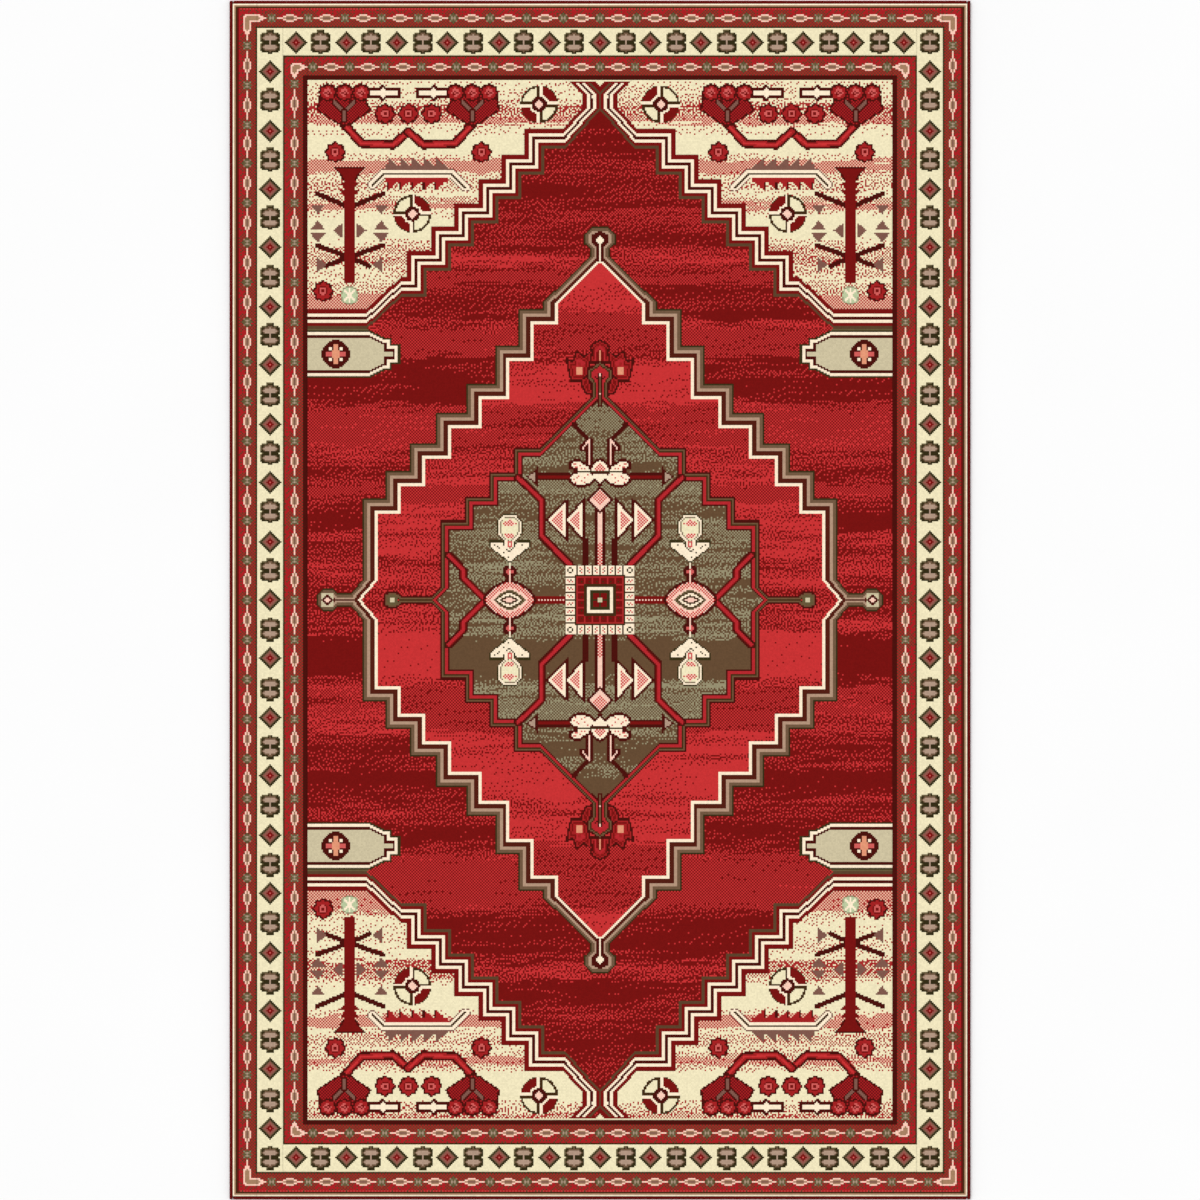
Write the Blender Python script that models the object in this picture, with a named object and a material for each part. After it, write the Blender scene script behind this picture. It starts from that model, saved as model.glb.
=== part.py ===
"""Area rug: a flat, machine-woven medallion rug lying on the floor, pile side up.

The rug is a woven ground with a latex coat under it and cut pile on top. All four edges are
overcast: a cord lies along each edge, and a yarn is wrapped round it. The pile is thousands of
separate tufts, so here each area of the design is one solid slab of tufts, a small gap from the
next area.

Frame: metres, +Z up, +Y towards the head end, +X to the right, origin on the floor under the
middle of the rug.
"""

import math

import bpy

# ---- driving dimensions -------------------------------------------------------------------------

KNOT = 0.003125                 # pitch of the tufts, both ways: 320 to the metre
PILE_WIDTH = 481 * KNOT         # pile from side to side
PILE_LENGTH = 781 * KNOT        # pile from head to foot

OUTER_GUARD = (16 * KNOT, 16 * KNOT)    # width of each border band at the sides and at the ends
MAIN_BORDER = (17 * KNOT, 18 * KNOT)
INNER_GUARD = (16 * KNOT, 16 * KNOT)

BACKCOAT_THICKNESS = 0.0008
GROUND_THICKNESS = 0.0022
PILE_HEIGHT = 0.0076

GAP = 0.0003                    # between one solid and the next

CORD_DIAMETER = 0.0042
WRAP_THICKNESS = 0.0012         # yarn wrapped round the cord, at the sides
WRAP_CROWN = 0.0008             # how much taller than wide the wrapped edge is
WRAP_FLAT = 0.0040              # width of the flat that the wrapped edge rests on

# The drawing of the field, in knots from its middle. It is stretched to the field's real size.
DRAWN_HALF_WIDTH = 191.5
DRAWN_HALF_LENGTH = 340.5
CENTRE_SQUARE = 22
STAIR_RUN = 15.4                # one step of the corner areas' stepped edge
STAIR_RISE = 16.1
STAIR_STEPS = 6

# ---- colours, as linear RGB ---------------------------------------------------------------------

COLOURS = {
    "latex": (0.55, 0.48, 0.36),
    "jute": (0.36, 0.26, 0.15),
    "edge_cord": (0.60, 0.54, 0.42),
    "serging": (0.105, 0.010, 0.008),
    "guard": (0.17, 0.020, 0.012),
    "ivory": (0.78, 0.68, 0.42),
    "red": (0.32, 0.016, 0.018),
    "bright_red": (0.50, 0.030, 0.030),
    "olive": (0.13, 0.11, 0.065),
    "sage": (0.45, 0.42, 0.28),
}

# ---- scene and materials ------------------------------------------------------------------------


def clear_scene():
    for item in list(bpy.data.objects):
        bpy.data.objects.remove(item, do_unlink=True)


def make_collection(name):
    collection = bpy.data.collections.new(name)
    bpy.context.scene.collection.children.link(collection)
    return collection


def make_material(name, colour, roughness):
    material = bpy.data.materials.new(name)
    material.use_nodes = True
    shader = material.node_tree.nodes["Principled BSDF"]
    shader.inputs["Base Color"].default_value = (*colour, 1.0)
    shader.inputs["Roughness"].default_value = roughness
    shader.inputs["Metallic"].default_value = 0.0
    return material


# ---- outlines -----------------------------------------------------------------------------------


def signed_area(loop):
    total = 0.0
    for (ax, ay), (bx, by) in zip(loop, loop[1:] + loop[:1]):
        total += ax * by - bx * ay
    return total / 2


def inset(loop, distance):
    """The outline moved inwards by a distance, with its corners kept sharp."""
    if signed_area(loop) < 0:
        loop = loop[::-1]
    moved = []
    count = len(loop)
    for i in range(count):
        (ax, ay), (bx, by), (cx, cy) = loop[i - 1], loop[i], loop[(i + 1) % count]
        first = math.hypot(bx - ax, by - ay)
        second = math.hypot(cx - bx, cy - by)
        n1 = (-(by - ay) / first, (bx - ax) / first)
        n2 = (-(cy - by) / second, (cx - bx) / second)
        reach = distance / (1 + n1[0] * n2[0] + n1[1] * n2[1])
        moved.append((bx + (n1[0] + n2[0]) * reach, by + (n1[1] + n2[1]) * reach))
    return moved


def rectangle(left, right, low, high):
    return [(left, low), (right, low), (right, high), (left, high)]


def extrude_outline(name, loops, thickness, collection, material):
    """A flat outline, with any holes, as a solid from z = -thickness / 2 to thickness / 2."""
    curve = bpy.data.curves.new(name, "CURVE")
    curve.dimensions = "2D"
    curve.fill_mode = "BOTH"
    curve.extrude = thickness / 2
    curve.resolution_u = 1
    curve.render_resolution_u = 0
    for loop in loops:
        spline = curve.splines.new("POLY")
        spline.points.add(len(loop) - 1)
        for point, (x, y) in zip(spline.points, loop):
            point.co = (x, y, 0.0, 1.0)
        spline.use_cyclic_u = True
    solid = bpy.data.objects.new(name, curve)
    collection.objects.link(solid)
    curve.materials.append(material)
    return solid


def slab(name, loops, floor, thickness, collection, material):
    """An outline laid flat, from the given floor height up; it gives half a gap all round."""
    outer = inset(loops[0], GAP / 2)
    holes = [inset(loop, -GAP / 2) for loop in loops[1:]]
    solid = extrude_outline(name, [outer] + holes, thickness, collection, material)
    solid.location = (0.0, 0.0, floor + thickness / 2)
    return solid


# ---- the rug's layers, from the floor up --------------------------------------------------------

GROUND_FLOOR = BACKCOAT_THICKNESS + GAP
PILE_FLOOR = GROUND_FLOOR + GROUND_THICKNESS + GAP
HALF_PILE_WIDTH = PILE_WIDTH / 2
HALF_PILE_LENGTH = PILE_LENGTH / 2


def make_layers(collection, materials):
    sheet = rectangle(-HALF_PILE_WIDTH, HALF_PILE_WIDTH, -HALF_PILE_LENGTH, HALF_PILE_LENGTH)
    slab("latex_backcoat", [sheet], 0.0, BACKCOAT_THICKNESS, collection, materials["latex"])
    slab("ground_weave", [sheet], GROUND_FLOOR, GROUND_THICKNESS, collection, materials["jute"])


# ---- overcast edges -----------------------------------------------------------------------------

TUNNEL_DIAMETER = CORD_DIAMETER + 2 * GAP
SERGING_WIDTH = TUNNEL_DIAMETER + 2 * WRAP_THICKNESS
SERGING_HEIGHT = SERGING_WIDTH + WRAP_CROWN
EDGE_X = HALF_PILE_WIDTH + GAP / 2      # where the edges start, outside the pile
EDGE_Y = HALF_PILE_LENGTH + GAP / 2


def wrap_outline():
    """Section of the wrapped yarn: round sides and top, and a flat below. Its middle is at 0, 0."""
    half_width = SERGING_WIDTH / 2
    half_height = SERGING_HEIGHT / 2
    points = [(-WRAP_FLAT / 2, -half_height), (WRAP_FLAT / 2, -half_height)]
    steps = 14
    start = -math.radians(48)
    sweep = math.pi - 2 * start
    for i in range(steps + 1):
        angle = start + sweep * i / steps
        points.append((half_width * math.cos(angle), half_height * math.sin(angle)))
    return points


def circle_outline(radius, sides=16):
    points = []
    for i in range(sides):
        angle = 2 * math.pi * i / sides
        points.append((radius * math.cos(angle), radius * math.sin(angle)))
    return points


def lay_edge(solid, side):
    """Turn an extruded section so that it runs along one edge of the rug."""
    across = EDGE_X + SERGING_WIDTH / 2
    along = EDGE_Y + SERGING_WIDTH / 2
    spots = {
        "left": (-across, 0.0, 0.0),
        "right": (across, 0.0, math.pi),
        "head": (0.0, along, -math.pi / 2),
        "foot": (0.0, -along, math.pi / 2),
    }
    x, y, turn = spots[side]
    solid.location = (x, y, SERGING_HEIGHT / 2)
    solid.rotation_euler = (math.pi / 2, 0.0, turn)


def make_edges(collection, materials):
    """The sides run the rug's full length; the ends fit between them."""
    side_length = 2 * (EDGE_Y + SERGING_WIDTH)
    end_length = 2 * (EDGE_X - GAP)
    wrap_loops = [wrap_outline(), circle_outline(TUNNEL_DIAMETER / 2)]
    cord_loops = [circle_outline(CORD_DIAMETER / 2)]
    pieces = {"serging": wrap_loops, "edge_cord": cord_loops}
    for side in ("left", "right", "head", "foot"):
        length = side_length if side in ("left", "right") else end_length
        for piece, loops in pieces.items():
            name = f"{piece}_{side}"
            solid = extrude_outline(name, loops, length, collection, materials[piece])
            lay_edge(solid, side)


# ---- pile of the borders ------------------------------------------------------------------------


def make_border(name, colour, outside, width, collection, materials):
    """One band as four strips: the sides run to the band's outer corners, the ends fit between.

    outside and width are pairs: at the sides, and at the ends.
    """
    right = HALF_PILE_WIDTH - outside[0]
    head = HALF_PILE_LENGTH - outside[1]
    right_inner = right - width[0]
    head_inner = head - width[1]
    strips = {
        "left": rectangle(-right, -right_inner, -head, head),
        "right": rectangle(right_inner, right, -head, head),
        "head": rectangle(-right_inner, right_inner, head_inner, head),
        "foot": rectangle(-right_inner, right_inner, -head, -head_inner),
    }
    for side, strip in strips.items():
        node = f"pile_{name}_{side}"
        slab(node, [strip], PILE_FLOOR, PILE_HEIGHT, collection, materials[colour])


def add_widths(*bands):
    return tuple(sum(parts) for parts in zip(*bands))


# ---- pile of the field --------------------------------------------------------------------------

FIELD_EDGE = add_widths(OUTER_GUARD, MAIN_BORDER, INNER_GUARD)
HALF_FIELD_WIDTH = HALF_PILE_WIDTH - FIELD_EDGE[0]
HALF_FIELD_LENGTH = HALF_PILE_LENGTH - FIELD_EDGE[1]


def on_field(points):
    """Points of the drawing, in knots from the middle, as metres on the real field."""
    across = HALF_FIELD_WIDTH / DRAWN_HALF_WIDTH
    along = HALF_FIELD_LENGTH / DRAWN_HALF_LENGTH
    return [(x * across, y * along) for x, y in points]


def four_fold(quarter):
    """A closed outline from its first quarter, which runs from the +X axis to the +Y axis."""
    top = quarter + [(-x, y) for x, y in quarter[::-1] if x > 0]
    return top + [(x, -y) for x, y in top[::-1] if y > 0]


def stair_edge():
    """Stepped edge of a corner area, from the field's side to the middle of its end."""
    x = 152.4
    y = 190.8
    points = [(DRAWN_HALF_WIDTH, y), (x, y)]
    x, y = x - 22.6, y + 21.0
    points.append((x, y))
    x -= 2.9
    for _ in range(STAIR_STEPS):
        points.append((x, y))
        y += STAIR_RISE
        points.append((x, y))
        x -= STAIR_RUN
    points.append((24.3, y))
    points += [(12.0, 322.5), (12.0, 331.0), (18.0, DRAWN_HALF_LENGTH)]
    return points


def spandrel_outline():
    return stair_edge() + [(DRAWN_HALF_WIDTH, DRAWN_HALF_LENGTH)]


def side_tab_outline():
    """A pointed tongue that grows out of the field's side towards the middle."""
    middle = 160.5
    half = [(DRAWN_HALF_WIDTH, 14.5), (150.5, 14.5), (139.5, 8.7), (138.0, 5.7), (132.0, 5.7)]
    lower = [(x, middle - y) for x, y in half]
    return lower + [(x, middle + y) for x, y in half[::-1]]


def medallion_outline():
    quarter = [
        (184.9, 0.0), (184.9, 2.6), (181.0, 6.5), (175.6, 6.5), (172.5, 3.2), (162.2, 3.2),
        (154.8, 12.6), (154.8, 65.1), (139.2, 65.1), (139.2, 82.9), (123.7, 82.9),
        (123.7, 100.7), (106.5, 100.7), (106.5, 120.7), (86.4, 120.7), (86.4, 140.4),
        (68.9, 140.4), (68.9, 165.0), (52.5, 165.0), (52.5, 188.7), (36.6, 188.7),
        (36.6, 194.5), (5.0, 224.5), (5.0, 231.0), (9.3, 235.0), (9.3, 239.5), (5.0, 243.5),
        (0.0, 243.5),
    ]
    return four_fold(quarter)


def inner_medallion_outline():
    quarter = [
        (142.0, 0.0), (142.0, 2.3), (138.5, 5.5), (133.5, 5.5), (130.0, 2.4), (110.4, 2.4),
        (104.8, 7.0), (104.8, 52.1), (88.6, 52.1), (88.6, 67.6), (72.8, 67.6), (72.8, 83.2),
        (56.4, 83.2), (56.4, 99.6), (39.2, 99.6), (5.5, 133.0), (5.5, 144.0), (8.0, 146.5),
        (0.0, 154.0),
    ]
    return four_fold(quarter)


def mirrored(loop, flip_x, flip_y):
    return [(-x if flip_x else x, -y if flip_y else y) for x, y in loop]


def red_field_outline():
    """What the corner areas and the side tabs leave of the field, as one outline."""
    tab = side_tab_outline()
    quarter = [(DRAWN_HALF_WIDTH, 0.0)] + tab + stair_edge() + [(0.0, DRAWN_HALF_LENGTH)]
    return four_fold(quarter)


def make_field(collection, materials):
    centre = four_fold([(CENTRE_SQUARE, 0.0), (CENTRE_SQUARE, CENTRE_SQUARE), (0.0, CENTRE_SQUARE)])
    inner = inner_medallion_outline()
    medallion = medallion_outline()
    areas = {
        "pile_centre_square": ([centre], "ivory"),
        "pile_inner_medallion": ([inner, centre], "olive"),
        "pile_medallion": ([medallion, inner], "bright_red"),
        "pile_red_field": ([red_field_outline(), medallion], "red"),
    }
    for end, flip_y in (("head", False), ("foot", True)):
        for side, flip_x in (("right", False), ("left", True)):
            spandrel = mirrored(spandrel_outline(), flip_x, flip_y)
            tab = mirrored(side_tab_outline(), flip_x, flip_y)
            areas[f"pile_spandrel_{end}_{side}"] = ([spandrel], "ivory")
            areas[f"pile_side_tab_{end}_{side}"] = ([tab], "sage")
    for name, (loops, colour) in areas.items():
        real_loops = [on_field(loop) for loop in loops]
        slab(name, real_loops, PILE_FLOOR, PILE_HEIGHT, collection, materials[colour])


# ---- build --------------------------------------------------------------------------------------


def main():
    clear_scene()
    collection = make_collection("area_rug")
    materials = {name: make_material(name, colour, 0.9) for name, colour in COLOURS.items()}
    make_layers(collection, materials)
    make_edges(collection, materials)
    make_border("outer_guard", "guard", (0.0, 0.0), OUTER_GUARD, collection, materials)
    make_border("main_border", "ivory", OUTER_GUARD, MAIN_BORDER, collection, materials)
    inner_start = add_widths(OUTER_GUARD, MAIN_BORDER)
    make_border("inner_guard", "guard", inner_start, INNER_GUARD, collection, materials)
    make_field(collection, materials)


main()
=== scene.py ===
# %% [markdown]
# # Area rug
# A machine-woven rug, about 1.5 m by 2.5 m, lying flat with its pile up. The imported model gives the
# size and place of every layer: a latex coat, the woven ground, the pile in separate areas, and a
# cord with yarn wrapped round it along each edge. This lesson gives each of those its real surface.

# %% Load the fixed frame
import math

import bmesh
import bpy
import numpy as np
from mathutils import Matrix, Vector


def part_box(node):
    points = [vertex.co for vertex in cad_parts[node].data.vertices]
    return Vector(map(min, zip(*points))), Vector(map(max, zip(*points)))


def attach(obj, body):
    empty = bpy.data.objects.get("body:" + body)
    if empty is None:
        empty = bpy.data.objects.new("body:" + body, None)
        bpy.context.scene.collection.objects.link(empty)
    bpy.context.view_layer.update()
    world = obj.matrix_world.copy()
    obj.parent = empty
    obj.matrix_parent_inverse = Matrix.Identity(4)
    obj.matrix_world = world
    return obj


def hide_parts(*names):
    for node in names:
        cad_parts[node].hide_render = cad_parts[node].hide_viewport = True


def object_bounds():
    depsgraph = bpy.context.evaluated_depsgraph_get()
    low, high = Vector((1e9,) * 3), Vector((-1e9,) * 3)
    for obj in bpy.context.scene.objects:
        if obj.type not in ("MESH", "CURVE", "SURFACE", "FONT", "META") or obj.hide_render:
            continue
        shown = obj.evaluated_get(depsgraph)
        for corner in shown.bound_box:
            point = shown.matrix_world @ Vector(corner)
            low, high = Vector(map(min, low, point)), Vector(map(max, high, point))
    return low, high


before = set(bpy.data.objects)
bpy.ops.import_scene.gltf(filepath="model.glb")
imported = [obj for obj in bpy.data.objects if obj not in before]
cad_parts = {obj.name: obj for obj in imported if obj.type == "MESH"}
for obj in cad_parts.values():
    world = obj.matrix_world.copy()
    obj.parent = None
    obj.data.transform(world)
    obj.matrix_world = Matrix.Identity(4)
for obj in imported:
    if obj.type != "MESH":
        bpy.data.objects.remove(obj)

cad_low, cad_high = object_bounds()
print("CAD box from", cad_low, "to", cad_high)

# %% [markdown]
# ## Camera
# The rug is seen from straight above. A long lens keeps the near parts from looking larger than the
# far ones, so the rug stays a true rectangle. The camera is as high as it must be for the rug's
# length to fill the picture from edge to edge.

# %% Camera straight above the rug
LENS = 0.100
SENSOR = 0.036
rug_length = cad_high[1] - cad_low[1]
camera_height = cad_high[2] + rug_length * LENS / SENSOR
camera_data = bpy.data.cameras.new("camera")
camera_data.lens = LENS * 1000
camera_data.sensor_width = SENSOR * 1000
camera = bpy.data.objects.new("camera", camera_data)
camera.location = (0.0, (cad_low[1] + cad_high[1]) / 2, camera_height)
bpy.context.scene.collection.objects.link(camera)
bpy.context.scene.camera = camera
bpy.context.scene.view_settings.view_transform = "Standard"
print("camera height:", round(camera_height, 3), "m")

# %% [markdown]
# ## Sizes shared by the pieces
# Everything in the pattern counts in knots, the pitch of the tufts. The knot comes from the packed
# pile: its length holds 781 rows of tufts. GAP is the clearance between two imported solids, and
# SIDES lists the four edges of the rug.

# %% Knot pitch and heights of the layers
KNOTS_ACROSS = 481
KNOTS_ALONG = 781
guard_low, guard_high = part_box("pile_outer_guard_left")
GAP = 0.0003
SIDES = ("left", "right", "head", "foot")
knot = (guard_high[1] - guard_low[1] + GAP) / KNOTS_ALONG
pile_floor = guard_low[2]
pile_top = guard_high[2]
print("knot pitch:", round(knot * 1000, 3), "mm, pile from", pile_floor, "to", pile_top)

# %% [markdown]
# ## The weaver's chart
# A power loom makes the pattern one tuft at a time: a chart on squared paper says which yarn stands
# in each square. The rug's design is the same four times over, mirrored left to right and head to
# foot, so only the quarter towards the head and the right is drawn, and then unfolded. Shapes are
# drawn with plain geometry in knots, measured from the middle of the rug. A picture could hold the
# same pattern, but a drawn chart keeps every edge exactly on a tuft and can be changed by hand.

# %% The yarns and the empty chart
YARNS = {
    "ivory": (240, 229, 190),
    "cream": (253, 234, 205),
    "pink": (250, 204, 184),
    "salmon": (226, 150, 116),
    "tan": (166, 128, 98),
    "sage": (204, 192, 158),
    "taupe": (176, 148, 128),
    "mauve": (126, 86, 74),
    "moss": (142, 126, 102),
    "olive": (100, 86, 56),
    "brown": (108, 80, 54),
    "dark_olive": (56, 48, 22),
    "dark_brown": (66, 42, 18),
    "oxblood": (74, 14, 8),
    "rose": (208, 92, 88),
    "maroon": (120, 16, 14),
    "red": (163, 32, 33),
    "bright_red": (199, 49, 50),
    "green": (186, 200, 158),
    "deep_red": (118, 15, 13),
    "soft_red": (168, 40, 40),
    "moss_light": (150, 142, 112),
    "bark": (100, 74, 50),
    "guard_red": (168, 30, 34),
    "guard_brown": (92, 60, 38),
    "red_ground": (150, 30, 30),
    "medallion_ground": (190, 45, 45),
    "ivory_ground": (236, 220, 184),
    "olive_ground": (112, 92, 64),
    "guard_ground": (136, 44, 38),
    "guard_shade": (110, 50, 38),
    "pink_ground": (225, 140, 125),
    "shield_ground": (140, 22, 26),
    "outline": (50, 42, 18),
    "outline_light": (104, 92, 62),
    "chestnut": (82, 28, 16),
    "stripe_brown": (112, 86, 64),
    "stripe_taupe": (178, 146, 122),
    "warm_pink": (240, 190, 162),
    "capital": (98, 14, 12),
    "stair_brown": (90, 64, 42),
    "guard_light": (196, 62, 60),
    "dusty_rose": (148, 84, 74),
    "line_red": (180, 38, 44),
}
YARN_NAMES = list(YARNS)
CODE = {name: index for index, name in enumerate(YARN_NAMES)}

HALF_ACROSS = (KNOTS_ACROSS - 1) // 2
HALF_ALONG = (KNOTS_ALONG - 1) // 2
EDGE_U = KNOTS_ACROSS / 2
EDGE_V = KNOTS_ALONG / 2
V, U = np.mgrid[0 : HALF_ALONG + 1, 0 : HALF_ACROSS + 1].astype(float)
chart = np.full(U.shape, CODE["red_ground"], np.int8)
area = np.full(U.shape, "red_field", "U20")
print("quarter chart:", chart.shape, "knots")

# %% Drawing tools for the chart


def paint(where, yarn):
    chart[where] = CODE[yarn]


def inside(points):
    """Squares inside a closed outline, by its winding number, so a loop turned inside out is empty."""
    if outline_area(points) < 0:
        points = points[::-1]
    return winding(points) > 0


def winding(points):
    turns = np.zeros(U.shape, int)
    for (ax, ay), (bx, by) in zip(points, points[1:] + points[:1]):
        if ay == by:
            continue
        low, high = min(ay, by), max(ay, by)
        first, last = max(0, math.ceil(low)), min(HALF_ALONG, math.ceil(high) - 1)
        if last < first:
            continue
        rows = np.arange(first, last + 1)
        cross = ax + (rows - ay) * (bx - ax) / (by - ay)
        turns[first : last + 1] += (U[first : last + 1] < cross[:, None]) * (1 if by > ay else -1)
    return turns


def outline_area(points):
    return sum(ax * by - bx * ay for (ax, ay), (bx, by) in zip(points, points[1:] + points[:1])) / 2


def fill(yarn, *points):
    """Paint the inside of a closed outline."""
    paint(inside(points), yarn)


NEARLY_STRAIGHT = 0.02


def moved_in(points, distance):
    """A counter-clockwise outline moved inwards with sharp corners; a negative distance moves it out.

    Stripes are counted in knots along a row, so a slanting stripe comes out thinner across.
    """
    moved = []
    for i in range(len(points)):
        (ax, ay), (bx, by), (cx, cy) = points[i - 1], points[i], points[(i + 1) % len(points)]
        first, second = math.hypot(bx - ax, by - ay), math.hypot(cx - bx, cy - by)
        n1 = (-(by - ay) / first, (bx - ax) / first)
        n2 = (-(cy - by) / second, (cx - bx) / second)
        d1 = distance * max(abs(n1[0]), abs(n1[1]))
        d2 = distance * max(abs(n2[0]), abs(n2[1]))
        cross = n1[0] * n2[1] - n1[1] * n2[0]
        if abs(cross) < NEARLY_STRAIGHT:
            moved.append((bx + n1[0] * d1, by + n1[1] * d1))
        else:
            moved.append((bx + (d1 * n2[1] - d2 * n1[1]) / cross, by + (d2 * n1[0] - d1 * n2[0]) / cross))
    return moved


def paint_layers(points, layers):
    """Nested stripes that follow an outline: each layer is how far in it starts, and its yarn."""
    if outline_area(points) < 0:
        points = points[::-1]
    for distance, yarn in layers:
        paint(winding(moved_in(points, distance)) > 0, yarn)


def near_path(points, width):
    """Squares within half a width of an open path."""
    best = np.full(U.shape, 1e9)
    for (ax, ay), (bx, by) in zip(points, points[1:]):
        length = math.hypot(bx - ax, by - ay)
        along = ((U - ax) * (bx - ax) + (V - ay) * (by - ay)) / length**2
        along = along.clip(0, 1)
        away = np.hypot(U - ax - along * (bx - ax), V - ay - along * (by - ay))
        best = np.minimum(best, away)
    return best <= width / 2


def stroke(path, *layers):
    """Paint an open path as lines laid over each other: each layer is a width and its yarn."""
    for width, yarn in layers:
        paint(near_path(path, width), yarn)


def nested(shape, *layers):
    """Paint a shape over itself: shape gives the squares for a size, each layer is a size and its yarn."""
    for size, yarn in layers:
        paint(shape(size), yarn)


def box(u0, u1, v0, v1):
    return (U >= u0) & (U <= u1) & (V >= v0) & (V <= v1)


def dot(u, v, yarn, half=0.5):
    paint(box(u - half, u + half, v - half, v + half), yarn)


def diamond(u, v, half_u, half_v=None):
    return np.abs(U - u) / half_u + np.abs(V - v) / (half_v or half_u) <= 1


def disc(u, v, radius):
    return np.hypot(U - u, V - v) <= radius


def four_fold(quarter):
    """A closed outline from its first quarter, which runs from the +u axis to the +v axis."""
    top = quarter + [(-x, y) for x, y in quarter[::-1] if x > 0]
    return top + [(x, -y) for x, y in top[::-1] if y > 0]


def stair(across, along):
    """The corners of a stair: where its risers stand across the rug and its treads along it."""
    return [(u, along[i + end]) for i, u in enumerate(across) for end in (0, 1)]


def band(start, width):
    """A frame of squares that starts this far in from the pile's edge, at the sides and at the ends."""
    outer = (U < EDGE_U - start[0]) & (V < EDGE_V - start[1])
    inner = (U < EDGE_U - start[0] - width[0]) & (V < EDGE_V - start[1] - width[1])
    return outer & ~inner


# %% [markdown]
# ### Borders
# Three bands run round the field: a narrow guard, the wide ivory border and a second guard. A guard
# carries a chain of small leaves with a cross between each two. The ivory border alternates a
# stepped diamond and a two-lobed flower. On the real loom these repeats are evened out so that a
# cross falls on the middle of every side, and the same is done here by dividing each side equally.

# %% Border bands
for start, width, yarn in (
    ((0, 0), (1, 1), "cream"),
    ((1, 1), (1, 1), "tan"),
    ((2, 2), (1, 1), "dark_brown"),
    ((3, 3), (12, 12), "guard_ground"),
    ((10, 10), (5, 5), "guard_shade"),
    ((15, 15), (1, 1), "dark_brown"),
    ((16, 16), (17, 18), "ivory"),
    ((33, 34), (1, 1), "dark_brown"),
    ((34, 35), (12, 12), "guard_ground"),
    ((41, 42), (5, 5), "guard_shade"),
    ((46, 47), (3, 3), "oxblood"),
):
    paint(band(start, width), yarn)
paint(band((3, 3), (1, 1)) & ((U + V) % 2 == 0), "guard_light")
paint(band((3, 3), (1, 0)), "capital")
BANDS = {
    "outer_guard": ((0, 0), (16, 16)),
    "main_border": ((16, 16), (17, 18)),
    "inner_guard": ((33, 34), (16, 16)),
}
for name, (start, width) in BANDS.items():
    area[band(start, width)] = name

# %% Leaf chains in the guards


def leaf(across, along):
    """A long six-sided leaf. across and along are each square's distance from its middle."""
    reach = np.abs(along) + 1.6 * np.abs(across)
    paint((reach <= 6.0) & (np.abs(across) < 2.5), "pink")
    paint((reach <= 4.5) & (np.abs(across) < 1.5), "tan")
    paint((reach <= 2.4) & (np.abs(across) < 0.5), "mauve")


def cross(across, along):
    paint((np.hypot(across, along) <= 6.0) & (chart == CODE["guard_ground"]), "guard_shade")
    paint(np.hypot(across, along) <= 3.1, "olive")
    paint((np.abs(across) < 2.5) & (np.abs(np.abs(across) - np.abs(along)) < 0.5), "moss")
    paint((np.abs(across) < 0.5) & (np.abs(np.abs(along) - 1) < 0.5), "taupe")


def bent_leaf(u, v, arm):
    """The leaf that turns a guard's corner, with an arm along each side."""
    for across, along in ((V - v, u - U), (U - u, v - V)):
        taper = np.clip((arm + 1.5 - along) / 1.5, -1, 2.6)
        shape = (along >= -2.5) & (np.abs(across) <= taper) & (U - u + V - v <= 3.4)
        paint(shape & ~disc(u + 3.5, v + 3.5, 2.2), "pink")
    for across, along in ((V - v, u - U), (U - u, v - V)):
        taper = np.clip((arm - 1.2 - along) / 1.5, -1, 1.4)
        paint((along >= -1.2) & (np.abs(across) <= taper) & (U - u + V - v <= 1.6), "tan")


def leaf_chain(centre_u, centre_v, steps_u, steps_v, last_u, last_v, arm):
    """Chains along the head and the side that meet in a bent leaf at the corner."""
    sides = (
        (V - centre_v, U, last_u, steps_u, centre_u),
        (U - centre_u, V, last_v, steps_v, centre_v),
    )
    for across, along, last, steps, end in sides:
        pitch = last / steps
        paint((np.abs(across) < 0.5) & (along < end - arm), "pink")
        for i in range(steps + 1):
            if i < steps:
                leaf(across, along - round(pitch * (i + 0.5)))
            cross(across, along - round(pitch * i))
    bent_leaf(centre_u, centre_v, arm)


leaf_chain(231, 381, steps_u=9, steps_v=14, last_u=215, last_v=363.4, arm=10)
leaf_chain(200, 349, steps_u=8, steps_v=13, last_u=187.5, last_v=337.6, arm=6)

# %% Diamonds and flowers in the ivory border


def stepped_diamond(u, v):
    nested(
        lambda half: np.abs(U - u) + np.abs(V - v) <= half,
        (7.6, "outline"), (5.7, "stripe_brown"), (4.6, "dusty_rose"), (2.6, "maroon"), (0.6, "rose"),
    )


def rounded(u, v, half_u, half_v, corner):
    du = np.maximum(np.abs(U - u) - half_u + corner, 0)
    dv = np.maximum(np.abs(V - v) - half_v + corner, 0)
    return np.hypot(du, dv) <= corner


def lobed_flower(u, v):
    """Two wide lobes, one above the other, with a stub on top and a small foot."""
    for grow, yarn in ((0.5, "outline"), (-0.9, "stripe_brown")):
        for lobe in (v + 3.2, v - 3.2):
            paint(rounded(u, lobe, 6 + grow, 2.9 + grow, 2.2), yarn)
        paint(box(u - 2 - grow, u + 2 + grow, v + 5, v + 7.6 + grow), yarn)
        paint(box(u - 1 - grow, u + 1 + grow, v - 7.4 - grow, v - 5), yarn)
    for lobe in (v + 3, v - 3):
        paint(rounded(u, lobe, 4.2, 1.1, 1.1), "taupe")
    paint(box(u - 5.5, u + 5.5, v - 0.6, v + 0.6), "outline")
    paint(box(u - 0.5, u + 0.5, v - 2.6, v + 5.6), "taupe")
    for notch in (u - 6.55, u + 6.55):
        paint(box(notch - 0.95, notch + 0.95, v - 0.6, v + 0.6), "ivory")


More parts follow.
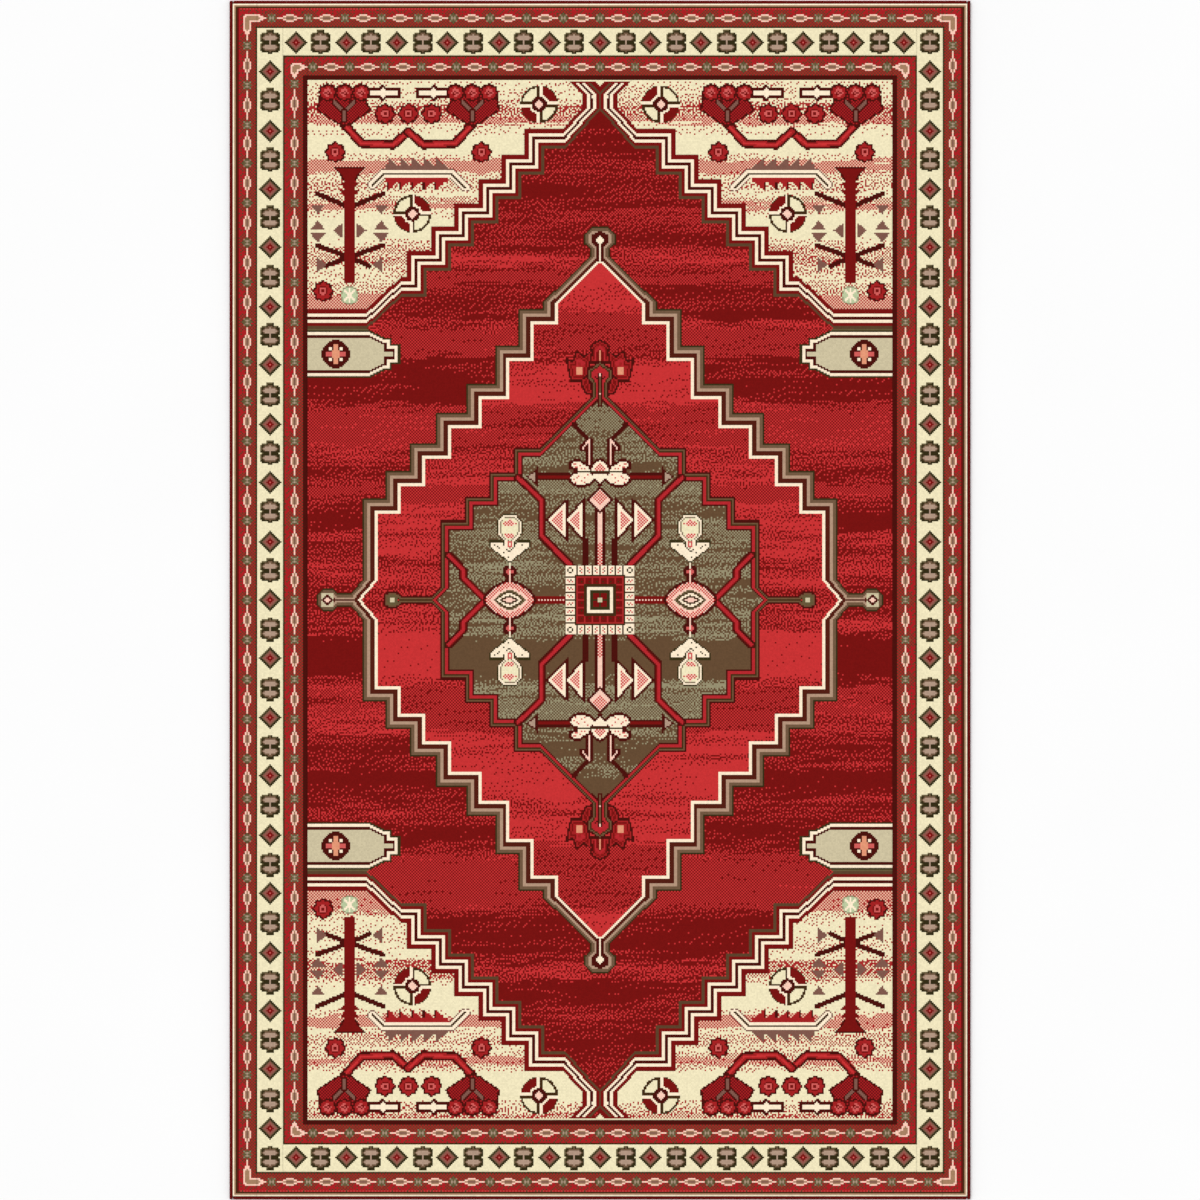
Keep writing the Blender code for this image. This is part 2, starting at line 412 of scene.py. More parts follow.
BORDER_U, BORDER_V = 216, 365
STEPS_U, STEPS_V = 13, 19
for i in range(STEPS_U + 1):
    motif = (stepped_diamond, lobed_flower)[i % 2]
    motif(round(BORDER_U * i / STEPS_U), BORDER_V)
for i in range(STEPS_V):
    motif = (stepped_diamond, lobed_flower)[i % 2]
    motif(BORDER_U, round(BORDER_V * i / STEPS_V))
print("border yarn squares:", int((chart == CODE["ivory"]).sum()))

# %% [markdown]
# ### Corner areas
# Each corner of the field is an ivory area with a stepped edge. Stripes of dark red, cream and
# brown follow the steps. The stripes are the same outline moved outwards a few knots at a time,
# which keeps their corners square, as they are in the weave.

# %% Stepped edge of the corner area and its stripes
FIELD_U, FIELD_V = 191.5, 340.5
STAIR = [(290, 190.8), (152.4, 190.8), (129.8, 211.8)] + stair(
    (126.7, 110.6, 95.4, 79.7, 64.4, 49.9), (211.8, 228.6, 244.7, 259.9, 276, 292, 308.2)
) + [(24.3, 308.2), (12, 322), (12, 331), (35, 354), (290, 354)]
field = (U < FIELD_U) & (V < FIELD_V)
frame_codes = chart.copy()
area[field & inside(STAIR)] = "spandrel"
paint_layers(
    STAIR,
    [(-13, "stair_brown"), (-11, "maroon"), (-9, "cream"), (-7, "oxblood"), (-5, "cream"), (-3, "maroon"),
     (0, "ivory_ground")],
)
paint(box(0, 17, 338.5, 339.5), "maroon")
fill("maroon", (0, 334), (6.5, 341), (-6.5, 341))
fill("ivory", (0, 336), (4.6, 341), (-4.6, 341))
paint((V > 339.5) & (V < FIELD_V), "ivory")

# %% Tongue that grows from the side of the field
TONGUE = [(290, 146.6), (151, 146.6), (141, 151.6), (137.7, 151.6), (137.7, 155.6), (132.2, 155.6),
          (132.2, 166.4), (137.7, 166.4), (137.7, 170.4), (141, 170.4), (151, 175.4), (290, 175.4)]
area[field & inside(TONGUE)] = "side_tab"
paint(box(152, 200, 175, 177.7), "olive")
paint_layers(TONGUE, [(-1.4, "dark_olive"), (0, "cream"), (2, "oxblood"), (3.6, "sage")])
TAB_U, TAB_V = 173, 161
paint(diamond(TAB_U, TAB_V, 12.6) & disc(TAB_U, TAB_V, 9.4), "oxblood")
paint(disc(TAB_U, TAB_V, 3.4) | rounded(TAB_U, TAB_V, 1.6, 6.4, 1), "salmon")
for side in (-1, 1):
    paint(rounded(TAB_U + side * 4.4, TAB_V, 2, 1.6, 1), "rose")
    for end in (-1, 1):
        dot(TAB_U + side * 3.5, TAB_V + end * 3.5, "cream", 0.6)

# %% [markdown]
# ### Flowers, tree and small motifs of the corner area
# The top row is symmetric in itself, about the middle of its wavy stem, so each of its motifs is
# drawn twice with one loop.

# %% Rosettes, wheels and bars


def rosette(u, v, radius=6.6):
    """A round flower with eight petals: dark outline, red petals and a pink ring in the middle."""
    angle = np.arctan2(V - v, U - u)
    away = np.hypot(U - u, V - v) - 0.5 * np.cos(8 * angle)
    nested(lambda reach: away <= reach, (radius, "oxblood"), (radius - 1.3, "red"))
    nested(lambda reach: disc(u, v, reach), (3.3, "maroon"), (2.4, "rose"), (1.2, "maroon"))


def small_flower(u, v):
    away = np.hypot(U - u, V - v) - 0.4 * np.cos(8 * np.arctan2(V - v, U - u))
    nested(
        lambda radius: away <= radius,
        (5.7, "oxblood"), (4.4, "red"), (2.6, "rose"), (1.7, "maroon"), (0.6, "rose"),
    )


def wheel(u, v, radius=12):
    """A quartered wheel: two ivory quarters in a dark outline, two dark ones edged in cream, a hub."""
    away = np.hypot(U - u, V - v)
    edge = np.minimum(np.abs(U - u), np.abs(V - v)) < 1.8
    pale = (U - u) * (V - v) > 0
    paint(away <= radius + 0.4, "dark_brown")
    paint(pale & ~edge & (away <= radius - 1.2), "ivory")
    paint(~pale & (away <= radius), "maroon")
    paint(~pale & (edge | (away <= 6.4)) & (away <= radius + 0.4), "cream")
    paint(away <= 5, "oxblood")
    paint(diamond(u, v, 3.1), "pink")


def key_bar(u0, u1, v, knob):
    """An ivory bar in a dark outline, with a diamond on it."""
    paint(box(u0 - 0.5, u1 + 0.5, v - 3, v + 3) | diamond(knob, v, 6.2), "oxblood")
    paint(box(u0 + 1.5, u1 - 1.5, v - 1.2, v + 1.2) | diamond(knob, v, 3.6), "cream")


ROW_MIDDLE = 125.5


def both(u):
    return (u, 2 * ROW_MIDDLE - u)


wheel(39.8, 324.6)
wheel(122.9, 252.9)
for u in (140.7, ROW_MIDDLE, 110.3):
    rosette(u, 318.4)
for u in both(173.4):
    rosette(u, 293.3)
rosette(181.4, 202.3)
for side in (1, -1):
    u0, u1 = sorted(ROW_MIDDLE + side * x for x in (6, 26))
    key_bar(u0, u1, 332, ROW_MIDDLE + side * 16.8)

# %% Flower clusters and the stem that joins them
SHIELD = [(184.5, 326), (186, 320.7), (173, 312), (167.5, 309.5), (162, 312), (149.5, 320.7), (153, 327),
          (151.5, 336), (183.5, 336)]
STEM = [(167.5, 311.5), (156.2, 299), (135.5, 298), (ROW_MIDDLE, 306.5)]
ARMS = ([(173.6, 326), (167.5, 319.5)], [(161.4, 326), (167.5, 319.5)], [(167.5, 320), (167.5, 314)])


def place(points, mirror):
    """Points as they are, or mirrored about the middle of the row."""
    return [(2 * ROW_MIDDLE - x if mirror else x, y) for x, y in points]


for mirror in (False, True):
    stroke(place(STEM, mirror), (6.2, "oxblood"), (3.4, "red"), (1.3, "bright_red"))
    paint_layers(place(SHIELD, mirror), [(0, "oxblood"), (1.4, "shield_ground")])
    for u in (178.4, 167.4, 156.4):
        small_flower(both(u)[mirror], 332.3)
    for arm in ARMS:
        stroke(place(arm, mirror), (3.8, "oxblood"), (2.2, "mauve"))

# %% Comb leaf, tree and triangles
for i in range(5):
    u = 138.8 - 7.8 * i
    fill("mauve", (u, 290), (u, 283), (u - 8, 283))
    fill("red", (u, 276.5), (u - 8.4, 276.5), (u, 268))
    stroke([(u, 276), (u, 269)], (1.2, "oxblood"))
fill("mauve", (140.5, 281), (141, 286), (134, 284.5), (104, 284.5), (98, 281))
paint(box(99.5, 140, 273.5, 277.5), "red")
LEAF_STEM = [(149, 271.4), (141.6, 278.8), (97.4, 278.8), (88, 269.8)]
for width, yarn in ((6.4, "mauve"), (4.8, "cream"), (1.5, "dark_brown")):
    stroke([(x, y + width / 12) for x, y in LEAF_STEM], (width, yarn))

TREE = 164
BRANCHES = {
    257: ((185.4, 266.2), (142.2, 266)),
    224.5: ((185.4, 232.2), (142.2, 232.2), (180.5, 218.6), (151, 218.6)),
}
for fork, tips in BRANCHES.items():
    for tip in tips:
        stroke([(TREE, fork), tip], (3.2, "oxblood"))
FLARE = [(153.6, 283.6), (174.4, 283.6), (169.4, 277.6), (168, 274.5), (160, 274.5), (158.6, 277.6)]
paint_layers(FLARE, [(-0.4, "oxblood"), (0.8, "maroon")])
for barb in (272, 266.6):
    fill("maroon", (157.6, barb + 1.6), (170.4, barb + 1.6), (167, barb - 2.4), (161, barb - 2.4))
paint(box(160.8, 167.2, 208, 276), "maroon")
for u in (184.8, 143.2):
    for half, base, tip in ((4.4, 258.6, 252.4), (5, 242.4, 248.8), (5, 240.2, 234)):
        fill("mauve", (u - half, base), (u + half, base), (u, tip))
for side in (1, -1):
    base, tip = TREE + side * 4.9, TREE + side * 11
    fill("mauve", (base, 246.8), (base, 237), (tip, 242))
    base, tip = TREE + side * 21.5, TREE + side * 14.5
    fill("mauve", (base, 224.5), (base, 214.5), (tip, 219.5))
POT = 199.4
paint(rounded(TREE, POT, 5.7, 5.7, 4.6), "moss_light")
paint(rounded(TREE, POT, 5.0, 5.0, 3.8), "green")
crossed = np.abs(np.abs(U - TREE) - np.abs(V - POT)) < 0.9
paint(rounded(TREE, POT, 4.2, 4.2, 3) & crossed, "cream")
paint(rounded(TREE, POT, 5.4, 5.4, 4) & (np.abs(U - TREE) < 0.6), "cream")

# %% [markdown]
# ### The medallions
# The large stepped medallion lies on the red field and holds an olive one, which holds a square.
# Their outlines are closed polygons with a small knob on each end.

# %% Large and inner medallion
MEDALLION = four_fold(
    [(184.9, 0), (184.9, 2.6), (181, 6.5), (175.6, 6.5), (172.5, 3.9), (162.2, 3.9)]
    + stair((154.8, 139.2, 123.7, 106.5, 86.4, 67.9, 52.5, 36.6),
            (12.6, 65.1, 83.7, 101.7, 121.7, 140.4, 165, 189.7, 194.5))
    + [(5.2, 225), (5.2, 230), (9.3, 233.5), (9.3, 239.5), (5, 243.6), (0, 243.6)]
)
area[inside(moved_in(MEDALLION, -1.1))] = "medallion"
paint_layers(
    MEDALLION,
    [(-1.1, "dark_olive"), (-0.1, "stripe_brown"), (1.9, "stripe_taupe"), (3.9, "chestnut"), (6.9, "cream"),
     (8.9, "medallion_ground")],
)
KNOB_U, KNOB_V = 178.6, 235.7
paint(disc(0, KNOB_V, 5.4), "oxblood")
paint(diamond(0, KNOB_V, 3), "cream")
paint(box(0, 0.5, 221, 234), "cream")
paint(box(1, 2.6, 222, 232), "oxblood")
paint(rounded(KNOB_U, 0, 4.4, 4.4, 2), "sage")
nested(lambda half: diamond(KNOB_U, 0, half), (4.2, "oxblood"), (2.4, "pink"))
paint(box(164, 173, 0, 0.5), "oxblood")

INNER = four_fold(
    [(142, 0), (142, 2.3), (138.5, 5.5), (133.5, 5.5), (130, 2.4), (110.4, 2.4)]
    + stair((104.8, 88.6, 72.8, 56.9), (8, 52.1, 67.6, 84, 99.6))
    + [(39.2, 99.6), (5.5, 133), (5.5, 142), (8.6, 145.5), (8.6, 150.5), (0, 156.5)]
)
area[inside(INNER)] = "inner_medallion"
PETALS = (
    [(-5.4, 156), (5.4, 156), (5.8, 164), (4.6, 167), (0, 169.6), (-4.6, 167), (-5.8, 164)],
    [(21.4, 157), (17.4, 155.6), (14.8, 162.4), (10.6, 158.6), (5.6, 162.6), (7, 156), (9.2, 145.4),
     (10.6, 144.2), (18.6, 144.2), (20, 150)],
    [(5, 135), (9, 135.6), (12.3, 143.6), (8, 146)],
)
for petal in PETALS:
    paint_layers(petal, [(-1.2, "oxblood"), (0.2, "red"), (1.2, "maroon"), (2.2, "red")])
fill("line_red", (-3.6, 157), (3.6, 157), (3.6, 163), (0, 166.6), (-3.6, 163))
fill("maroon", (-2.2, 157), (2.2, 157), (2.2, 162), (0, 164.4), (-2.2, 162))
paint(box(0, 0.5, 157, 163), "salmon")
paint(box(11.6, 15.4, 147.6, 152.4), "salmon")
fill("line_red", (15.8, 157), (15.8, 152), (9, 154.6), (12, 158))
fill("red", (14.6, 156), (14.6, 153), (11, 154.6))
paint_layers(
    INNER,
    [(0, "oxblood"), (1.1, "brown"), (2.3, "dark_brown"), (3.3, "line_red"), (5.4, "oxblood"),
     (6.5, "olive_ground")],
)
paint(disc(0, 148, 3.6), "line_red")
paint(box(0, 1.2, 127, 148.5), "oxblood")
paint(box(0, 0.5, 128, 146.5), "brown")
for v in (135, 147.5):
    paint(box(0, 0.5, v - 0.6, v + 0.6), "pink")
nested(lambda radius: disc(136, 0, radius), (3.8, "olive"), (1.6, "sage"))

# %% Red lines that divide the inner medallion
LINES = (
    [(53.6, 80), (38.4, 65.5), (38.4, 42), (19.5, 23)],
    [(99, 29.4), (89.5, 19.8), (89.5, 14.5), (76, 1)],
)
for line in LINES:
    stroke(line, (5.2, "oxblood"), (3.0, "maroon"), (2.2, "line_red"))
stroke([(9, 106.5), (17.5, 115.5)], (3, "oxblood"))

# %% Eye, bulb and arrow
EYE = 59.2


def lens(half_u, half_v, power=1.25):
    return (np.abs(U - EYE) / half_u) ** power + (V / half_v) ** power <= 1


paint(box(22, 44, 0, 2.4), "maroon")
paint(box(22, 44, 0, 0.5) & (U % 2 == 0), "pink")
paint(lens(17.6, 13.6, 1.55), "oxblood")
paint(rounded(EYE, 18.5, 4.4, 3.6, 2) | box(EYE - 2.4, EYE + 2.4, 12, 18), "oxblood")
paint(lens(15.8, 11.6, 1.5), "pink_ground")
paint(lens(12, 8.2, 1.4), "pink")
paint(lens(10.3, 7), "olive")
paint(lens(9, 5.8), "dark_brown")
paint(lens(8, 4.6), "cream")
paint(lens(6, 3.2), "dark_brown")
paint(lens(4, 1.9, 1), "pink")
paint(diamond(EYE, 18.5, 3.0, 2.2), "rose")
paint(box(EYE - 0.5, EYE + 0.5, 12, 18) | diamond(EYE, 18.5, 1.2), "pink")
paint(box(EYE - 0.5, EYE + 0.5, 21, 27), "cream")
ARROW = [(-12.6, 38), (-12.6, 35), (0, 25), (12.6, 35), (12.6, 38), (5.5, 38), (0, 32.5), (-5.5, 38)]
BULB = [(-3.5, 55.8), (-7.7, 51.3), (-7.7, 44.5), (-5.4, 40.6), (-3, 38.6), (-3, 35.2), (0, 32), (3, 35.2),
        (3, 38.6), (5.4, 40.6), (7.7, 44.5), (7.7, 51.3), (3.5, 55.8)]
paint_layers([(EYE + x, y) for x, y in ARROW], [(-1.1, "dark_olive"), (0, "cream")])
for du, v in ((10, 36.4), (8, 35.4), (6.4, 34), (3.4, 31), (1, 28.4), (-8, 35.6)):
    dot(EYE + du, v, "dark_olive")
paint_layers(
    [(EYE + x, y) for x, y in BULB],
    [(-0.9, "dark_olive"), (0, "cream"), (1.4, "moss"), (2.3, "ivory")],
)
paint(diamond(EYE, 50, 4.6, 3.2) & (V > 48), "pink_ground")
paint(rounded(EYE, 42.4, 3, 1.6, 1.4), "pink_ground")
paint(box(EYE - 1.2, EYE + 1.2, 34.6, 38.6), "rose")
paint(box(EYE - 0.4, EYE + 0.4, 35.6, 37.6), "cream")

# %% Shaft, paired triangles, flower and side arrows
paint(box(0, 3.9, 22, 62), "oxblood")
paint(box(0, 1.9, 22, 62), "pink_ground")
paint(box(0, 1.2, 38, 56), "pink")
paint(diamond(0, 65.5, 9.4), "oxblood")
paint(diamond(0, 65.5, 7.2), "pink")
paint(diamond(0, 66.5, 5.4, 5), "pink_ground")
paint(box(7.6, 11.6, 22, 40), "oxblood")
ARROWHEADS = [[(tip, 52.4), (base, 63.2), (base, 41.6)] for tip, base in ((34, 22.8), (22, 12))]
for layers in ([(-2, "oxblood")], [(0, "cream"), (2.0, "pink_ground")]):
    for arrowhead in ARROWHEADS:
        paint_layers(arrowhead, layers)
stroke([(7, 86), (7, 104.4), (11.4, 99.4)], (4.8, "oxblood"), (1.3, "pink"))
FLOWER_PETALS = (
    [(-5.6, 84.5), (5.6, 84.5), (4.8, 87.4), (2.6, 90), (0, 91.2), (-2.6, 90), (-4.8, 87.4)],
    [(-5.8, 83), (5.8, 83), (0, 76)],
    [(6.6, 84.5), (13.6, 84.5), (15.2, 86.4), (18.6, 87.4), (18.6, 89.4), (16.8, 91), (13.6, 90.6),
     (10.8, 88.4), (7.4, 87)],
    [(6.6, 83), (13.4, 83.2), (17, 82.6), (19.2, 80.4), (18.6, 77.8), (15.4, 75.8), (10.6, 75.4),
     (7.2, 76.8), (3.4, 79.6)],
)
for layer in ((-2.0, "oxblood"), (0, "cream")):
    for petal in FLOWER_PETALS:
        paint_layers(petal, [layer])
paint(box(0, 14.4, 83.6, 84.4), "dark_olive")
fill("pink_ground", (-4, 85), (4, 85), (0, 89.6))
FRECKLES = (
    (16.5, 89), (13, 88), (15.5, 87.4), (9.6, 86), (12, 86.4), (15, 80), (17.4, 79.4), (12.4, 78),
    (9.6, 80.4), (16.2, 77.4), (13.6, 81.4), (7.6, 81.6), (10.4, 77.2),
)
for u, v in FRECKLES:
    dot(u, v, "rose")
paint(box(20, 42, 78.4, 83), "oxblood")
paint(box(20, 42, 79.6, 81.8), "maroon")
fill("oxblood", (41, 87.2), (43.4, 84), (49, 80.7), (43.4, 77.4), (41, 74.2))
fill("taupe", (42.2, 84.2), (42.2, 77.2), (47, 80.7))

# %% The square in the middle
SQUARE = 22.5
RING_FROM = 16
CELL = 5
square = np.maximum(U, V)
area[square <= SQUARE] = "centre_square"
along_ring = np.where(U > V, V, U) % CELL
ring = (square <= SQUARE) & (square > RING_FROM)
corner = np.minimum(U, V) > RING_FROM
paint(square <= SQUARE, "dark_brown")
paint(ring & (along_ring > 0) & (square < SQUARE), "cream")
paint(ring & ~corner & (along_ring == 2) & (np.abs(square - 19) == 1), "rose")
paint(ring & ~corner & (along_ring == 3) & (np.abs(square - 19) <= 1) & (square % 2 == 1), "dark_brown")
paint(ring & ~corner & (along_ring == 3) & (square == 21), "rose")
paint(corner & ring, "cream")
paint(np.abs(U - 19.5) + np.abs(V - 19.5) == 2, "dark_olive")
paint(square <= RING_FROM, "dark_brown")
paint(square < RING_FROM, "deep_red")
paint((square < RING_FROM) & ((U % CELL == 0) | (V % CELL == 0)), "soft_red")
paint((square < RING_FROM) & ((U % CELL == 2) & (V % CELL == 2)), "dark_brown")
nested(lambda half: square < half, (10.5, "dark_brown"), (8.9, "cream"), (6.2, "dark_olive"))
paint((square < 5) & (np.minimum(U, V) > 0.5), "maroon")
paint(square <= 1.5, "sage")

# %% Keep the borders whole
border = ~field
chart[border] = frame_codes[border]
print("yarns on the chart:", len(np.unique(chart)))

# %% [markdown]
# ## Unfolding the chart and mixing the yarns
# The quarter is mirrored left to right and head to foot. The grounds are not one yarn each: two
# yarns are mixed tuft by tuft, in bands that run across the rug, which gives the uneven look of
# hand-dyed wool called abrash. In some bands the two alternate like a chessboard, and in others they
# are scattered. The bands aren't mirrored. A fixed seed makes the same rug on each run.

# %% Unfold the quarter to the whole rug
random = np.random.default_rng(7)
rows = np.arange(KNOTS_ALONG) - HALF_ALONG
columns = np.arange(KNOTS_ACROSS) - HALF_ACROSS
yarn = chart[np.abs(rows)][:, np.abs(columns)]
areas = area[np.abs(rows)][:, np.abs(columns)]
v_all, u_all = np.meshgrid(rows.astype(float), columns.astype(float), indexing="ij")
print("tufts in the rug:", yarn.size)

# %% Tools for mixing


def smooth_noise(reach_v, reach_u):
    """Soft random values from -1 to 1, with blobs about this many tufts long each way."""
    values = random.standard_normal(yarn.shape)
    for axis, reach in ((0, reach_v), (1, reach_u)):
        if reach < 2:
            continue
        kernel = np.hanning(2 * reach + 1)
        values = np.apply_along_axis(np.convolve, axis, values, kernel, "same")
    return (values / values.std()).clip(-2, 2) / 2


scatter = random.random(yarn.shape)
chessboard = (rows[:, None] + columns[None, :]) % 2
is_mixed = np.zeros(yarn.shape, bool)
light_share = np.zeros(yarn.shape)
limit = np.zeros(yarn.shape)
light_yarn = np.zeros(yarn.shape, np.int8)
dark_yarn = np.zeros(yarn.shape, np.int8)


CHESS_PULL = 0.6
SCATTER_PULL = 0.9


def mixed(ground, bands, light, dark, ragged=1.5, streak=0.12, light_even=None):
    """Plan the mix of two yarns on a ground.

    Each band is the row where it ends, counted from the middle, its share of the light yarn, and how
    scattered the mix is, from 0 for a chessboard to 1. Even bands may take another light yarn.
    """
    edges = np.array([-band[0] for band in bands], float)
    lean = v_all + ragged * smooth_noise(1, 14) * 2
    which = np.searchsorted(edges, -lean).clip(0, len(bands) - 1)
    share = np.array([band[1] for band in bands])[which]
    loose = np.array([band[2] for band in bands])[which]
    mottle = (share > 0.02) & (share < 0.98)
    share = share + mottle * streak * (smooth_noise(2, 26) + 0.6 * smooth_noise(2, 60)) * (0.3 + loose)
    here = yarn == CODE[ground]
    is_mixed[here] = True
    light_share[here] = share[here]
    chess = (chessboard - 0.5) * (1 - loose) * CHESS_PULL
    scattered = (scatter - 0.5) * loose * SCATTER_PULL
    limit[here] = (0.5 + chess + scattered)[here]
    light_yarn[here] = CODE[light]
    dark_yarn[here] = CODE[dark]
    if light_even:
        light_yarn[here & (loose < 0.4) & (share < 0.66)] = CODE[light_even]
    print(ground, "mean share of", light, round(float(share[here].mean()), 2))


def woven_mix():
    """Pick a yarn tuft by tuft, from the head down.

    Each tuft hands what it rounded away to the tufts beside and below it, so that any share comes
    out evenly spread, and a half comes out as a chessboard.
    """
    owed = [0.0] * (KNOTS_ACROSS + 2)
    for row in range(KNOTS_ALONG - 1, -1, -1):
        below = [0.0] * (KNOTS_ACROSS + 2)
        carry = 0.0
        picked = []
        plan = zip(is_mixed[row], light_share[row].tolist(), limit[row].tolist())
        for i, (here, want, edge) in enumerate(plan):
            if not here:
                carry = 0.0
                picked.append(False)
                continue
            want += carry + owed[i + 1]
            light = want > edge
            picked.append(light)
            error = want - light
            carry = error * 7 / 16
            below[i] += error * 3 / 16
            below[i + 1] += error * 5 / 16
            below[i + 2] += error / 16
        owed = below
        chosen = np.where(picked, light_yarn[row], dark_yarn[row])
        yarn[row] = np.where(is_mixed[row], chosen, yarn[row])


# %% [markdown]
# The red field and the large medallion share one plan of bands, because the yarn changes on the
# whole row of the loom. Where the field is at its deepest, the medallion is at its brightest.

# %% Bands of the field and the medallion
FIELD_BANDS = [
    (309, 0.0, 0.0), (297, 0.1, 0.5), (273, 0.18, 0.6), (255, 0.12, 0.5), (249, 0.4, 0.5),
    (243, 0.25, 0.3), (231, 0.2, 0.6), (226, 0.35, 0.8), (219, 0.6, 0.9), (213, 0.35, 0.3),
    (207, 0.5, 0.0), (189, 0.2, 0.4), (183, 0.25, 0.9), (177, 0.45, 0.8), (159, 0.5, 0.1),
    (147, 0.12, 0.6), (129, 0.06, 0.4), (123, 0.45, 0.5), (99, 0.55, 0.1), (87, 0.4, 0.8),
    (81, 0.12, 0.5), (75, 0.3, 0.8), (69, 0.5, 0.0), (63, 0.4, 0.7), (57, 0.28, 0.6), (45, 0.03, 0.2),
    (39, 0.6, 0.9), (33, 0.36, 0.8), (27, 0.28, 0.7), (15, 0.52, 0.9), (9, 0.36, 0.8), (-9, 0.15, 0.6),
    (-15, 0.32, 0.7), (-21, 0.52, 0.9), (-27, 0.18, 0.5), (-50, 0.0, 0.0), (-57, 0.3, 0.7),
    (-63, 0.6, 0.3), (-69, 0.45, 0.6), (-75, 0.58, 0.2), (-87, 0.6, 0.8), (-93, 0.2, 0.6),
    (-105, 0.18, 0.8), (-111, 0.33, 0.8), (-123, 0.02, 0.0), (-129, 0.12, 0.5), (-135, 0.2, 0.9),
    (-147, 0.3, 0.8), (-159, 0.12, 0.7), (-165, 0.28, 0.7), (-171, 0.42, 0.5), (-201, 0.5, 0.1),
    (-207, 0.3, 0.5), (-231, 0.04, 0.3), (-237, 0.16, 0.9), (-249, 0.52, 0.9), (-267, 0.08, 0.6),
    (-285, 0.25, 0.8), (-300, 0.12, 0.5), (-330, 0.2, 0.5),
]
MEDALLION_BANDS = [
    (207, 1.0, 0.0), (189, 0.88, 0.5), (165, 0.44, 0.2), (159, 0.35, 0.6), (153, 0.7, 0.8),
    (141, 0.86, 0.9), (129, 0.95, 0.4), (123, 0.55, 0.4), (99, 0.42, 0.4), (93, 0.6, 0.8),
    (87, 0.62, 0.6), (75, 0.7, 0.9), (63, 0.52, 0.1), (57, 0.85, 0.6), (51, 0.7, 0.8), (45, 0.95, 0.4),
    (39, 0.6, 0.8), (27, 0.75, 0.9), (21, 0.37, 0.7), (9, 0.7, 0.9), (-3, 0.4, 0.8), (-21, 0.6, 0.9),
    (-51, 0.98, 0.4), (-57, 0.68, 0.8), (-87, 0.45, 0.2), (-105, 0.82, 0.8), (-129, 0.94, 0.6),
    (-141, 0.75, 0.9), (-159, 0.82, 0.8), (-177, 0.42, 0.1), (-183, 0.5, 0.5), (-201, 0.38, 0.2),
    (-207, 0.75, 0.6), (-250, 0.9, 0.5),
]
IVORY_BANDS = [
    (336, 0.85, 1.0), (328, 0.85, 1.0), (324, 0.7, 1.0), (320, 0.27, 0.8), (316, 0.42, 0.6),
    (312, 0.45, 0.3), (304, 0.86, 1.0), (292, 1.0, 0.0), (288, 0.78, 0.5), (280, 0.48, 0.0),
    (272, 0.72, 0.8), (268, 0.68, 1.0), (264, 0.88, 1.0), (260, 0.62, 0.5), (256, 0.5, 0.3),
    (252, 0.8, 1.0), (236, 1.0, 0.0), (232, 0.85, 0.8), (224, 0.6, 0.6), (220, 0.45, 0.4),
    (212, 0.74, 1.0), (208, 0.93, 1.0), (204, 0.66, 0.5), (200, 0.62, 0.9), (186, 0.5, 0.0),
    (-200, 0.45, 0.0), (-204, 0.42, 0.2), (-208, 0.67, 0.6), (-228, 0.9, 1.0), (-236, 0.87, 0.8),
    (-240, 0.25, 0.6), (-248, 0.38, 0.4), (-252, 0.85, 1.0), (-268, 1.0, 0.0), (-272, 0.88, 1.0),
    (-280, 0.48, 0.0), (-284, 0.82, 1.0), (-292, 0.64, 0.6), (-296, 0.82, 1.0), (-300, 0.65, 0.7),
    (-304, 0.45, 0.2), (-308, 0.7, 0.8), (-328, 1.0, 0.0), (-336, 0.73, 1.0), (-345, 0.38, 0.5),
]
OLIVE_BANDS = [
    (110, 0.5, 0.3), (101, 0.45, 0.6), (94, 0.42, 0.9), (89, 0.46, 0.8), (82, 0.25, 0.8), (70, 0.53, 0.3),
    (65, 0.35, 0.6), (59, 0.3, 0.7), (53, 0.15, 0.6), (47, 0.3, 0.6), (41, 0.4, 0.4), (35, 0.45, 0.6),
    (29, 0.2, 0.6), (23, 0.35, 0.7), (17, 0.42, 0.8), (11, 0.25, 0.8), (5, 0.12, 0.8), (-7, 0.35, 0.8),
    (-19, 0.42, 0.8), (-25, 0.3, 0.8), (-50, 0.0, 0.0), (-55, 0.1, 0.6), (-61, 0.6, 0.7), (-67, 0.4, 0.5),
    (-79, 0.52, 0.3), (-91, 0.4, 0.8), (-103, 0.05, 0.5), (-113, 0.3, 0.7), (-125, 0.0, 0.0),
]
mixed("red_ground", FIELD_BANDS, "bright_red", "deep_red", streak=0.22)
mixed("medallion_ground", MEDALLION_BANDS, "bright_red", "deep_red", streak=0.22)
mixed("ivory_ground", IVORY_BANDS, "ivory", "soft_red", ragged=1.0, streak=0.12, light_even="warm_pink")
mixed("olive_ground", OLIVE_BANDS, "moss_light", "bark", streak=0.3)
PAST_FOOT = -400
for ground, share, loose, light, dark in (
    ("guard_ground", 0.82, 0.3, "guard_red", "guard_brown"),
    ("guard_shade", 0.52, 0.3, "guard_red", "guard_brown"),
    ("pink_ground", 0.5, 0.0, "pink", "bright_red"),
    ("shield_ground", 0.5, 0.0, "guard_red", "capital"),
):
    mixed(ground, [(PAST_FOOT, share, loose)], light, dark, streak=0.0)
woven_mix()
print("mixed tufts:", int(is_mixed.sum()))

# %% [markdown]
# The outlines of the border's diamonds and flowers are woven in two browns: the paler one towards
# the head and the left, and the darker one towards the foot and the right. It makes them look raised.

